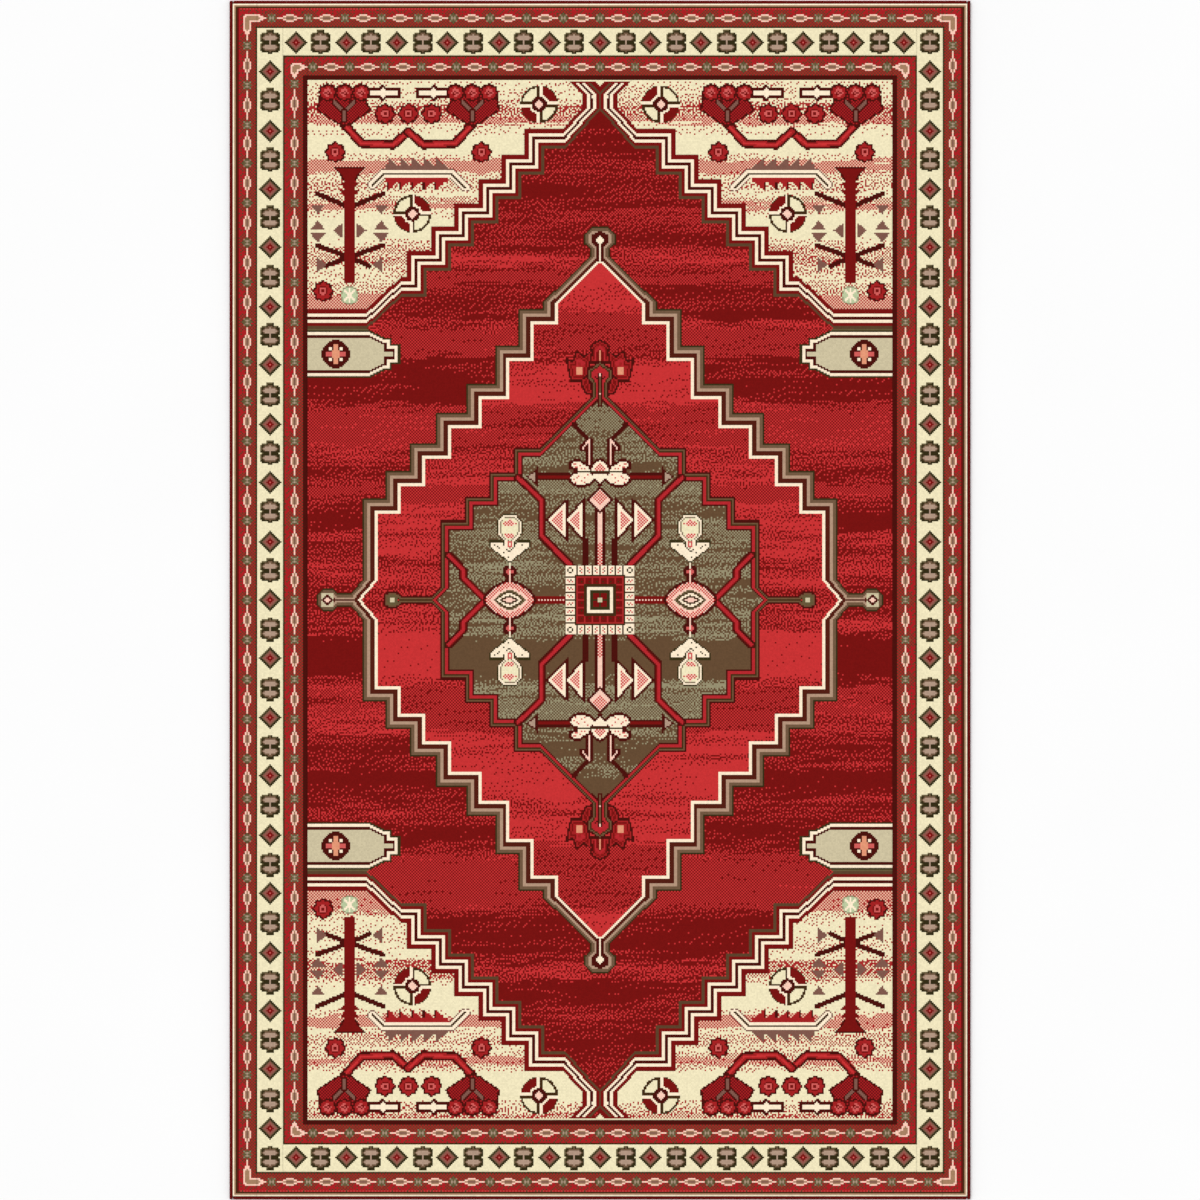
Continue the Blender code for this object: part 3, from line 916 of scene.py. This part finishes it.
# %% Two browns in the outlines
is_outline = yarn == CODE["outline"]
is_ivory = yarn == CODE["ivory"]
toward_head = np.roll(is_ivory, -1, axis=0) | np.roll(is_ivory, 1, axis=1)
toward_foot = np.roll(is_ivory, 1, axis=0) | np.roll(is_ivory, -1, axis=1)
is_raised = is_outline & toward_head & ~toward_foot
yarn[is_raised] = CODE["outline_light"]
print("paler outline tufts:", int(is_raised.sum()), "of", int(is_outline.sum()))

# %% [markdown]
# ## Shader maths
# A material is a graph of nodes. This small class wraps one socket of that graph, so that a sum or
# a product of values can be written as ordinary Python, and each operator adds its node. A number
# combines with a number, and a vector with a vector of three.

# %% Wire and Finish


class Wire:
    """One value or colour in a finish."""

    def __init__(self, finish, socket):
        self.finish = finish
        self.socket = socket

    def combine(self, operation, first, second):
        kind = "Math" if self.socket.type == "VALUE" else "VectorMath"
        return self.finish.node(kind, {"operation": operation}, {0: first, 1: second})

    def __add__(self, other):
        return self.combine("ADD", self, other)

    def __radd__(self, other):
        return self.combine("ADD", other, self)

    def __sub__(self, other):
        return self.combine("SUBTRACT", self, other)

    def __rsub__(self, other):
        return self.combine("SUBTRACT", other, self)

    def __mul__(self, other):
        return self.combine("MULTIPLY", self, other)

    def __rmul__(self, other):
        return self.combine("MULTIPLY", other, self)

    def part(self, axis):
        return self.finish.node("SeparateXYZ", {}, {0: self}, axis)


class Finish:
    """A material under construction."""

    def __init__(self, name):
        self.material = bpy.data.materials.new(name)
        self.material.use_nodes = True
        self.tree = self.material.node_tree
        self.shader = self.tree.nodes["Principled BSDF"]

    def node(self, kind, settings, values, output=0):
        """Add a node: its settings first, then the values or wires of its sockets."""
        node = self.tree.nodes.new("ShaderNode" + kind)
        for name, setting in settings.items():
            setattr(node, name, setting)
        for name, value in values.items():
            self.put(node.inputs[name], value)
        return Wire(self, node.outputs[output])

    def put(self, socket, value):
        if isinstance(value, Wire):
            self.tree.links.new(value.socket, socket)
        else:
            socket.default_value = value

    def surface(self, **values):
        """Set the shader's own sockets; underscores in a name stand for spaces."""
        for name, value in values.items():
            self.put(self.shader.inputs[name.replace("_", " ")], value)
        return self.material

    def mix(self, share, first, second, blend="MIX"):
        settings = {"data_type": "RGBA", "blend_type": blend}
        return self.node("Mix", settings, {0: share, 6: first, 7: second}, 2)

    def place(self):
        return self.node("TexCoord", {}, {}, "Object")

    def noise(self, vector, scale, detail=2.0, roughness=0.5):
        values = {"Vector": vector, "Scale": scale, "Detail": detail, "Roughness": roughness}
        return self.node("TexNoise", {}, values, "Fac")

    def bump(self, height, distance, strength):
        return self.node("Bump", {}, {"Height": height, "Distance": distance, "Strength": strength})


def linear(colour):
    """A colour given from 0 to 255 as the eye sees it, as the amounts of light a shader works with."""
    result = []
    for value in colour:
        value = value / 255
        result.append(value / 12.92 if value <= 0.04045 else ((value + 0.055) / 1.055) ** 2.4)
    return tuple(result)


# %% [markdown]
# ## Pile
# Each tuft is a bundle of cut fibres that stands up from the ground and spreads into its
# neighbours, so the pile reads as one soft surface with a small mound for each tuft. Modelling every
# fibre would take hundreds of millions of them. Here each tuft is one facet of a mesh, at its own
# small height and with its own yarn colour stored on it, and the finish adds the mound as a bump,
# the fibres and a little difference in shade from tuft to tuft. The mound also darkens the colour a
# little towards each tuft's edge: painted shade between the tufts.

# %% Finish of the pile


def pile_finish():
    finish = Finish("cut_pile")
    place = finish.place()
    yarn_colour = finish.node("Attribute", {"attribute_name": "yarn"}, {}, "Color")
    tuft_shade = finish.node("Attribute", {"attribute_name": "shade"}, {}, "Fac")
    cell = place * (1 / knot, 1 / knot, 0.0) + (0.5, 0.5, 0.0)
    inside_cell = finish.node("VectorMath", {"operation": "FRACTION"}, {0: cell}) - (0.5, 0.5, 0.0)
    away = finish.node("VectorMath", {"operation": "LENGTH"}, {0: inside_cell}, "Value")
    mound = 1.0 - away * away * 2.0
    fibres = finish.noise(place, 1400.0, 2.0, 0.6)
    clumps = finish.noise(place, 420.0, 2.0, 0.5)
    # tuft_shade and fibres are each tuft's own random tone; mound * 0.06 is painted shade, darkening the
    # colour towards each tuft's edge where the tufts meet
    shade = 0.84 + tuft_shade * 0.14 + fibres * 0.14 + mound * 0.06
    colour = finish.mix(1.0, yarn_colour, shade_colour(finish, shade), "MULTIPLY")
    normal = finish.bump(mound * 0.6 + fibres * 0.5 + clumps * 0.3, 0.0009, 0.4)
    roughness = 0.80 + fibres * 0.16
    return finish.surface(
        Base_Color=colour,
        Roughness=roughness,
        Normal=normal,
        Specular_IOR_Level=0.05,
        Sheen_Weight=0.015,
        Sheen_Roughness=0.5,
    )


def shade_colour(finish, shade):
    return finish.node("CombineColor", {}, {0: shade, 1: shade, 2: shade})


cut_pile = pile_finish()
print("pile finish nodes:", len(cut_pile.node_tree.nodes))

# %% [markdown]
# ### From chart to mesh
# A grid of corners covers the whole rug. An area of pile takes the facets of its own squares, plus a
# short wall of tufts all round its edge, down to the ground. The map that lays the surface out flat
# is a plain plan of the area, with the walls opened out just beyond its edge.

# %% Heights of the tufts
corner_rows = np.arange(KNOTS_ALONG + 1)
corner_columns = np.arange(KNOTS_ACROSS + 1)
corner_y = (corner_rows - KNOTS_ALONG / 2) * knot
corner_x = (corner_columns - KNOTS_ACROSS / 2) * knot
from_side = np.minimum(corner_columns, KNOTS_ACROSS - corner_columns)[None, :]
from_end = np.minimum(corner_rows, KNOTS_ALONG - corner_rows)[:, None]
rim = np.minimum(from_side, from_end).astype(float)
TUFT_UNEVEN = 0.00022
RIM_DROP = 0.0009
RIM_REACH = 1.2
uneven = random.random((KNOTS_ALONG + 1, KNOTS_ACROSS + 1)) * TUFT_UNEVEN
drop = RIM_DROP * np.exp(-rim / RIM_REACH)
height = pile_top - uneven - drop
shade = random.random(yarn.shape)
light = np.array([linear(YARNS[name]) for name in YARN_NAMES])
print("pile heights:", round(height.min(), 4), "to", round(height.max(), 4))

# %% Build one area of pile


def neighbour(mask, dv, du):
    padded = np.pad(mask, 1)
    return padded[1 + dv : padded.shape[0] - 1 + dv, 1 + du : padded.shape[1] - 1 + du]


# Each side of a tuft: the step to its neighbour, and the two corners of that side, as (row, column).
TUFT_SIDES = (
    ((-1, 0), (0, 0), (0, 1)),
    ((0, 1), (0, 1), (1, 1)),
    ((1, 0), (1, 1), (1, 0)),
    ((0, -1), (1, 0), (0, 0)),
)
WALL_SPREAD = 1.2
MARGIN = 2.0


def pile_mesh(name, mask):
    """The top facets of a mask of tufts, with a wall round it."""
    v, u = np.nonzero(mask)
    wide = KNOTS_ACROSS + 1
    top_faces = np.stack([v * wide + u, v * wide + u + 1, (v + 1) * wide + u + 1, (v + 1) * wide + u], 1)
    low_v, low_u = v.min(), u.min()
    rows_here, columns_here = v.max() + 1 - low_v, u.max() + 1 - low_u

    def flat(row, column):
        return (
            (column - low_u + MARGIN) / (columns_here + 2 * MARGIN),
            (row - low_v + MARGIN) / (rows_here + 2 * MARGIN),
        )

    corners, first = np.unique(top_faces, return_inverse=True)
    first = first.reshape(top_faces.shape)
    c_row, c_col = corners // wide, corners % wide
    points = [np.stack([corner_x[c_col], corner_y[c_row], height[c_row, c_col]], 1)]
    faces = [first]
    loops_uv = [np.stack(flat(c_row[first], c_col[first]), -1)]
    tuft_of_face = [np.stack([v, u], 1)]
    index_of = {int(c): i for i, c in enumerate(corners)}
    count = len(corners)
    wall_points, wall_faces, wall_uv, wall_tufts = [], [], [], []
    feet = {}
    for (dv, du), start, end in TUFT_SIDES:
        edge_v, edge_u = np.nonzero(mask & ~neighbour(mask, dv, du))
        for row, column in zip(edge_v.tolist(), edge_u.tolist()):
            a, b = ((row + step[0]) * wide + column + step[1] for step in (start, end))
            for corner in (a, b):
                if corner not in feet:
                    feet[corner] = count + len(wall_points)
                    wall_points.append((corner_x[corner % wide], corner_y[corner // wide], pile_floor))
            wall_faces.append((index_of[b], index_of[a], feet[a], feet[b]))
            out_v, out_u = dv * WALL_SPREAD, du * WALL_SPREAD
            wall_uv.append([
                flat(b // wide, b % wide),
                flat(a // wide, a % wide),
                flat(a // wide + out_v, a % wide + out_u),
                flat(b // wide + out_v, b % wide + out_u),
            ])
            wall_tufts.append((row, column))
    points.append(np.array(wall_points))
    faces.append(np.array(wall_faces))
    loops_uv.append(np.array(wall_uv))
    tuft_of_face.append(np.array(wall_tufts))
    points, faces = np.concatenate(points), np.concatenate(faces)
    mesh = mesh_from_arrays(name, points, faces)
    uv = mesh.uv_layers.new(name="OFBake")
    uv.data.foreach_set("uv", np.concatenate(loops_uv).reshape(-1).astype(np.float32))
    tufts = np.concatenate(tuft_of_face)
    colours = np.ones((len(faces), 4), np.float32)
    colours[:, :3] = light[yarn[tufts[:, 0], tufts[:, 1]]]
    store_on_faces(mesh, "yarn", "FLOAT_COLOR", colours)
    store_on_faces(mesh, "shade", "FLOAT", shade[tufts[:, 0], tufts[:, 1]].astype(np.float32))
    return mesh


def mesh_from_arrays(name, points, faces):
    mesh = bpy.data.meshes.new(name)
    sides = faces.shape[1]
    mesh.vertices.add(len(points))
    mesh.vertices.foreach_set("co", points.reshape(-1).astype(np.float32))
    mesh.loops.add(faces.size)
    mesh.loops.foreach_set("vertex_index", faces.reshape(-1).astype(np.int32))
    mesh.polygons.add(len(faces))
    mesh.polygons.foreach_set("loop_start", np.arange(0, faces.size, sides, dtype=np.int32))
    mesh.update(calc_edges=True)
    mesh.validate()
    return mesh


def store_on_faces(mesh, name, kind, values):
    layer = mesh.attributes.new(name, kind, "FACE")
    field_name = "color" if kind == "FLOAT_COLOR" else "value"
    layer.data.foreach_set(field_name, values.reshape(-1))


def add_piece(name, mesh, finish, nodes):
    """Put a mesh in the scene as a piece of the rug that stands for CAD nodes."""
    mesh.materials.append(finish)
    piece = bpy.data.objects.new(name, mesh)
    bpy.context.scene.collection.objects.link(piece)
    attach(piece, "root")
    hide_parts(*nodes)
    return piece


# %% Lay out the areas of pile
left, right = u_all < 0, u_all > 0
head, foot = v_all > 0, v_all < 0


def pile_piece(name, mask):
    piece = add_piece(name, pile_mesh(name, mask), cut_pile, [f"pile_{name}"])
    print(name, "tufts:", int(mask.sum()))


for band_name, (start, width) in BANDS.items():
    slot = "pile_ivory" if band_name == "main_border" else "pile_guard"
    on_band = areas == band_name
    on_side = on_band & (np.abs(u_all) >= EDGE_U - start[0] - width[0])
    pile_piece(f"{band_name}_left", on_side & left)
    pile_piece(f"{band_name}_right", on_side & right)
    pile_piece(f"{band_name}_head", on_band & ~on_side & head)
    pile_piece(f"{band_name}_foot", on_band & ~on_side & foot)
for area_name, slot in (("spandrel", "pile_ivory"), ("side_tab", "pile_sage")):
    for end_name, at_end in (("head", head), ("foot", foot)):
        for side_name, at_side in (("left", left), ("right", right)):
            mask = (areas == area_name) & at_end & at_side
            pile_piece(f"{area_name}_{end_name}_{side_name}", mask)
for area_name, slot in (
    ("red_field", "pile_red"),
    ("medallion", "pile_bright_red"),
    ("inner_medallion", "pile_olive"),
    ("centre_square", "pile_ivory"),
):
    pile_piece(area_name, areas == area_name)

# %% [markdown]
# ## Overcast edges
# A cord is laid along each edge and a thick yarn is wrapped round it and through the edge of the
# rug, turn beside turn. The turns lean a little, because the machine moves forward while it wraps.
# A smooth tube would look like plastic piping, so the tube is made with a real ridge for each turn.

# %% Finish of the wrapped yarn


def wrap_finish(name, colour, along_axis):
    """Plied yarn: a fine twist across each turn, fibres, and a little change of shade along the edge."""
    finish = Finish(name)
    place = finish.place()
    stretch = (260.0, 2600.0, 900.0) if along_axis == 1 else (2600.0, 260.0, 900.0)
    twist = finish.noise(place * stretch, 1.0, 2.0, 0.5)
    fibres = finish.noise(place, 1800.0, 2.0, 0.6)
    drift = finish.noise(place, 9.0, 2.0, 0.5)
    shade = 0.72 + twist * 0.22 + fibres * 0.16 + drift * 0.18
    colour_wire = finish.mix(1.0, (*linear(colour), 1.0), shade_colour(finish, shade), "MULTIPLY")
    normal = finish.bump(twist * 0.6 + fibres * 0.4, 0.0004, 0.5)
    return finish.surface(
        Base_Color=colour_wire,
        Roughness=0.66 + fibres * 0.2,
        Normal=normal,
        Specular_IOR_Level=0.06,
    )


# %% Build one wrapped edge
SERGING_RED = (100, 13, 10)
WRAP_PITCH = 0.0025
WRAP_LEAN = 0.0011
WRAP_RIDGE = (0.90, 0.985, 0.985)
END_TAPER = 0.0028
END_SIZE = 0.12
FLAT_FROM = 0.85
SECTION_POINTS = 14


def section_ring(low, high, flat_share=0.55):
    """Round section of the wrapped edge with a flat below, as (across, up) from its middle."""
    half_width, half_height = (high[0] - low[0]) / 2, (high[1] - low[1]) / 2
    ring = [(-half_width * flat_share, -half_height), (half_width * flat_share, -half_height)]
    start = -math.radians(46)
    for i in range(SECTION_POINTS - 2):
        angle = start + (math.pi - 2 * start) * i / (SECTION_POINTS - 3)
        ring.append((half_width * math.cos(angle), half_height * math.sin(angle)))
    return np.array(ring)


def edge_box(node):
    """The box of a node that lies along one edge, its long axis and its short one."""
    low, high = (np.array(corner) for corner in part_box(node))
    along = int(np.argmax(high - low))
    return low, high, along, 1 - along


def tube_faces(count, sides):
    """Facets between rings of points, each ring to the next."""
    index = np.arange(count * sides).reshape(count, sides)
    after = np.roll(index, -1, axis=1)
    return np.stack([index[:-1], after[:-1], after[1:], index[1:]], -1).reshape(-1, 4)


def tube_mesh(name, points, faces):
    """A smooth closed mesh from open tubes."""
    mesh = mesh_from_arrays(name, points, faces)
    work = bmesh.new()
    work.from_mesh(mesh)
    open_edges = [edge for edge in work.edges if len(edge.link_faces) == 1]
    bmesh.ops.holes_fill(work, edges=open_edges, sides=0)
    bmesh.ops.recalc_face_normals(work, faces=work.faces)
    work.to_mesh(mesh)
    work.free()
    mesh.shade_smooth()
    return mesh


def wrapped_edge(name, node):
    low, high, along, across = edge_box(node)
    middle = (low + high) / 2
    length = high[along] - low[along]
    ring = section_ring((low[across], low[2]), (high[across], high[2]))
    count = round(length / WRAP_PITCH) * len(WRAP_RIDGE) + 1
    stations = np.linspace(0, length, count)
    scale = np.array([WRAP_RIDGE[i % len(WRAP_RIDGE)] for i in range(count)])
    end_taper = (np.minimum(stations, length - stations) / END_TAPER).clip(0, 1)
    scale = scale * np.sqrt(1 - (1 - end_taper) ** 2).clip(END_SIZE, 1)
    points = np.zeros((count, SECTION_POINTS, 3))
    up = ring[:, 1][None, :] * scale[:, None]
    points[:, :, 2] = middle[2] + up
    points[:, 1, 2] = points[:, 0, 2] = np.where(scale > FLAT_FROM, low[2], middle[2] + up[:, 0])
    points[:, :, across] = middle[across] + ring[:, 0][None, :] * scale[:, None]
    slant = WRAP_LEAN * ring[:, 0] / ring[:, 0].max()
    points[:, :, along] = low[along] + stations[:, None] + slant[None, :] * end_taper[:, None]
    faces = tube_faces(count, SECTION_POINTS)
    if along == 0:
        faces = faces[:, ::-1]
    return tube_mesh(name, points.reshape(-1, 3), faces), along


wrap_finishes = [wrap_finish(f"serging_yarn_{axis}", SERGING_RED, i) for i, axis in enumerate("xy")]
for side in SIDES:
    node = f"serging_{side}"
    mesh, along = wrapped_edge(f"wrapped_edge_{side}", node)
    add_piece(mesh.name, mesh, wrap_finishes[along], [node])
    print(mesh.name, "faces:", len(mesh.polygons))

# %% [markdown]
# ### Cord inside the edge
# The cord is three strands twisted together. Each strand is a tube that follows a helix.

# %% Twisted cords
CORD_COTTON = (205, 192, 160)
STRANDS = 3
STRAND_SIDES = 6
STRAND_SHARE = 0.46
TWIST_PITCH = 0.016
STEPS_PER_TWIST = 8
CORD_INSET = 0.0035


def twisted_cord(name, node):
    low, high, along, across = edge_box(node)
    middle = (low + high) / 2
    length = high[along] - low[along] - 2 * CORD_INSET
    strand_radius = (high[2] - low[2]) / 2 * STRAND_SHARE
    path_radius = (high[2] - low[2]) / 2 - strand_radius
    count = round(length / TWIST_PITCH * STEPS_PER_TWIST) + 1
    stations = np.linspace(0, length, count)
    around = np.arange(STRAND_SIDES) * 2 * math.pi / STRAND_SIDES
    strands, faces = [], []
    for strand in range(STRANDS):
        turn = stations / TWIST_PITCH * 2 * math.pi + strand * 2 * math.pi / STRANDS
        middle_across = middle[across] + path_radius * np.cos(turn)
        middle_up = middle[2] + path_radius * np.sin(turn)
        points = np.zeros((count, STRAND_SIDES, 3))
        points[:, :, along] = (low[along] + CORD_INSET + stations)[:, None]
        points[:, :, across] = middle_across[:, None] + strand_radius * np.cos(around)
        points[:, :, 2] = middle_up[:, None] + strand_radius * np.sin(around)
        strands.append(points.reshape(-1, 3))
        faces.append(tube_faces(count, STRAND_SIDES) + strand * count * STRAND_SIDES)
    return tube_mesh(name, np.concatenate(strands), np.concatenate(faces)), along


cord_finishes = [wrap_finish(f"cord_cotton_{axis}", CORD_COTTON, i) for i, axis in enumerate("xy")]
for side in SIDES:
    node = f"edge_cord_{side}"
    mesh, along = twisted_cord(f"twisted_cord_{side}", node)
    add_piece(mesh.name, mesh, cord_finishes[along], [node])
    print(mesh.name, "faces:", len(mesh.polygons))

# %% [markdown]
# ## Ground and back
# Under the pile is a plain weave of jute weft over cotton warp, and under that a thin coat of latex
# that locks the tufts. The latex sinks into the weave, so the back shows the weft as ribs, and each
# tuft's yarn as a faint dot where it loops round the weft: a pale, mirrored picture of the front.

# %% Finish of the woven ground and of the latex back


JUTE, COTTON = (150, 118, 78), (206, 190, 152)
COATED_JUTE, COATED_COTTON = (168, 138, 98), (205, 188, 150)
LATEX = (214, 200, 168)


def weave_finish(name, weft, warp, film, show_yarn):
    """Plain weave from two waves: weft ribs over and under the warp. film is how much latex fills it."""
    finish = Finish(name)
    place = finish.place()
    counted = place * (math.pi / knot, math.pi / knot, 0.0)
    across = finish.node("Math", {"operation": "SINE"}, {0: counted.part(0) + math.pi / 2})
    along = finish.node("Math", {"operation": "SINE"}, {0: counted.part(1) + math.pi / 2})
    over = across * along * 0.5 + 0.5
    ribs = along * along
    fibres = finish.noise(place * (1.0, 3.0, 1.0), 900.0, 3.0, 0.6)
    patches = finish.noise(place, 14.0, 3.0, 0.5)
    threads = finish.mix(over, (*linear(warp), 1.0), (*linear(weft), 1.0))
    if show_yarn:
        yarn_colour = finish.node("Attribute", {"attribute_name": "yarn"}, {}, "Color")
        threads = finish.mix(ribs * show_yarn, threads, yarn_colour)
    # fibres and patches are the threads' own uneven tone; ribs * 0.08 is painted shade, darkening the
    # colour in the grooves between the weft ribs
    shade = 0.74 + fibres * 0.22 + patches * 0.22 + ribs * 0.08
    colour = finish.mix(1.0, threads, shade_colour(finish, shade), "MULTIPLY")
    coated = finish.mix(film * 0.5 + patches * (film * 0.5), colour, (*linear(LATEX), 1.0))
    relief = ribs * 0.5 + over * 0.5 + fibres * 0.25
    return finish.surface(
        Base_Color=coated,
        Roughness=0.72 + fibres * 0.18,
        Normal=finish.bump(relief, 0.0005, 0.7),
        Specular_IOR_Level=0.25,
    )


# %% Build the ground and the back as thin woven sheets
GROUND_STEP = 5
BACK_STEP = 2
DIP_SHARE = 0.12
FACE_SHARE = (0.485, 0.97)
TOP_FROM, UNDER_FROM = (0.005, 0.015), (0.51, 0.015)
WALL_LENGTH, WALL_HEIGHT = 0.97, 0.002
WALL_FROM = (0.0, 0.003, 0.990, 0.996)


def plate_mesh(name, node, step, with_yarn):
    """A thin closed plate whose two faces are grids that dip a little here and there.

    On its flat map the two faces lie side by side, with a narrow strip for each of the four walls.
    """
    low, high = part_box(node)
    across = np.linspace(low[0], high[0], KNOTS_ACROSS // step + 2)
    along = np.linspace(low[1], high[1], KNOTS_ALONG // step + 2)
    y, x = np.meshgrid(along, across, indexing="ij")
    dip = random.random(x.shape) * (high[2] - low[2]) * DIP_SHARE
    edge = np.zeros(x.shape, bool)
    edge[[0, -1], :] = True
    edge[:, [0, -1]] = True
    dip[edge] = 0
    many = x.size
    points = np.concatenate([
        np.stack([x, y, high[2] - dip], -1).reshape(-1, 3),
        np.stack([x, y, low[2] + dip], -1).reshape(-1, 3),
    ])
    index = np.arange(many).reshape(x.shape)
    top = np.stack([index[:-1, :-1], index[:-1, 1:], index[1:, 1:], index[1:, :-1]], -1).reshape(-1, 4)
    under = top[:, ::-1] + many
    walls = []
    rims = ((index[0, :], True), (index[-1, :], False), (index[:, 0], False), (index[:, -1], True))
    for rim_line, flip in rims:
        wall = np.stack([rim_line[:-1], rim_line[1:], rim_line[1:] + many, rim_line[:-1] + many], 1)
        walls.append(wall[:, ::-1] if flip else wall)
    faces = np.concatenate([top, under] + walls)
    mesh = mesh_from_arrays(name, points, faces)
    u = (x - low[0]) / (high[0] - low[0])
    v = (y - low[1]) / (high[1] - low[1])
    uv = np.zeros((len(faces), 4, 2))
    spots = np.stack([u, v], -1).reshape(-1, 2)
    uv[: len(top)] = spots[top] * FACE_SHARE + TOP_FROM
    uv[len(top) : 2 * len(top)] = spots[under - many] * FACE_SHARE + UNDER_FROM
    start = 2 * len(top)
    for i, wall in enumerate(walls):
        along = spots[wall % many][:, :, i // 2]
        uv[start : start + len(wall), :, 0] = along * WALL_LENGTH + 0.01
        uv[start : start + len(wall), :, 1] = WALL_FROM[i] + np.where(wall >= many, 0.0, WALL_HEIGHT)
        start += len(wall)
    layer = mesh.uv_layers.new(name="OFBake")
    layer.data.foreach_set("uv", uv.reshape(-1).astype(np.float32))
    if with_yarn:
        centre = points[faces].mean(1)
        row = (centre[:, 1] / knot + KNOTS_ALONG / 2).clip(0, KNOTS_ALONG - 1).astype(int)
        column = (centre[:, 0] / knot + KNOTS_ACROSS / 2).clip(0, KNOTS_ACROSS - 1).astype(int)
        colours = np.ones((len(faces), 4), np.float32)
        colours[:, :3] = light[yarn[row, column]]
        store_on_faces(mesh, "yarn", "FLOAT_COLOR", colours)
    return mesh


ground_weave_finish = weave_finish("jute_weave", JUTE, COTTON, 0.0, 0.0)
back_finish = weave_finish("latex_on_weave", COATED_JUTE, COATED_COTTON, 0.45, 0.35)
ground_mesh = plate_mesh("woven_ground", "ground_weave", GROUND_STEP, False)
woven_ground = add_piece("woven_ground", ground_mesh, ground_weave_finish, ["ground_weave"])
back_mesh = plate_mesh("latex_back", "latex_backcoat", BACK_STEP, True)
latex_back = add_piece("latex_back", back_mesh, back_finish, ["latex_backcoat"])
print("back faces:", len(back_mesh.polygons))

# %% [markdown]

# %% [markdown]
# ## Floor and light
# The rug lies on a plain pale floor. Light comes from everywhere, with a broad soft lamp from the
# head end and the left, so the edges throw a faint shadow and the pile shows its small relief.

# %% Floor
FLOOR_HALF = 6.0
FLOOR_LEVEL = -0.0004
floor_corners = [
    (x * FLOOR_HALF, y * FLOOR_HALF, FLOOR_LEVEL) for x, y in ((-1, -1), (1, -1), (1, 1), (-1, 1))
]
floor_mesh = bpy.data.meshes.new("floor")
floor_mesh.from_pydata(floor_corners, [], [(0, 1, 2, 3)])
floor = bpy.data.objects.new("floor", floor_mesh)
bpy.context.scene.collection.objects.link(floor)
floor_finish = Finish("pale_floor")
grain = floor_finish.noise(floor_finish.place(), 3.0, 2.0)
pale = floor_finish.mix(grain, (0.97, 0.97, 0.97, 1.0), (0.99, 0.99, 0.99, 1.0))
floor_mesh.materials.append(floor_finish.surface(Base_Color=pale, Roughness=0.9, Specular_IOR_Level=0.1))

# %% Lights
world = bpy.data.worlds.new("studio")
world.use_nodes = True
SKY = 0.72
background = world.node_tree.nodes["Background"]
background.inputs["Color"].default_value = (1.0, 1.0, 1.0, 1.0)
background.inputs["Strength"].default_value = SKY
bpy.context.scene.world = world
lamp_data = bpy.data.lights.new("soft_lamp", "SUN")
lamp_data.angle = math.radians(35)
LAMP_TILT = math.radians(42)
lamp_data.energy = (1.0 - SKY) * math.pi / math.cos(LAMP_TILT)
lamp = bpy.data.objects.new("soft_lamp", lamp_data)
lamp.rotation_euler = (-LAMP_TILT * 0.8, -LAMP_TILT * 0.6, 0.0)
bpy.context.scene.collection.objects.link(lamp)
print("lamp energy:", round(lamp_data.energy, 3))
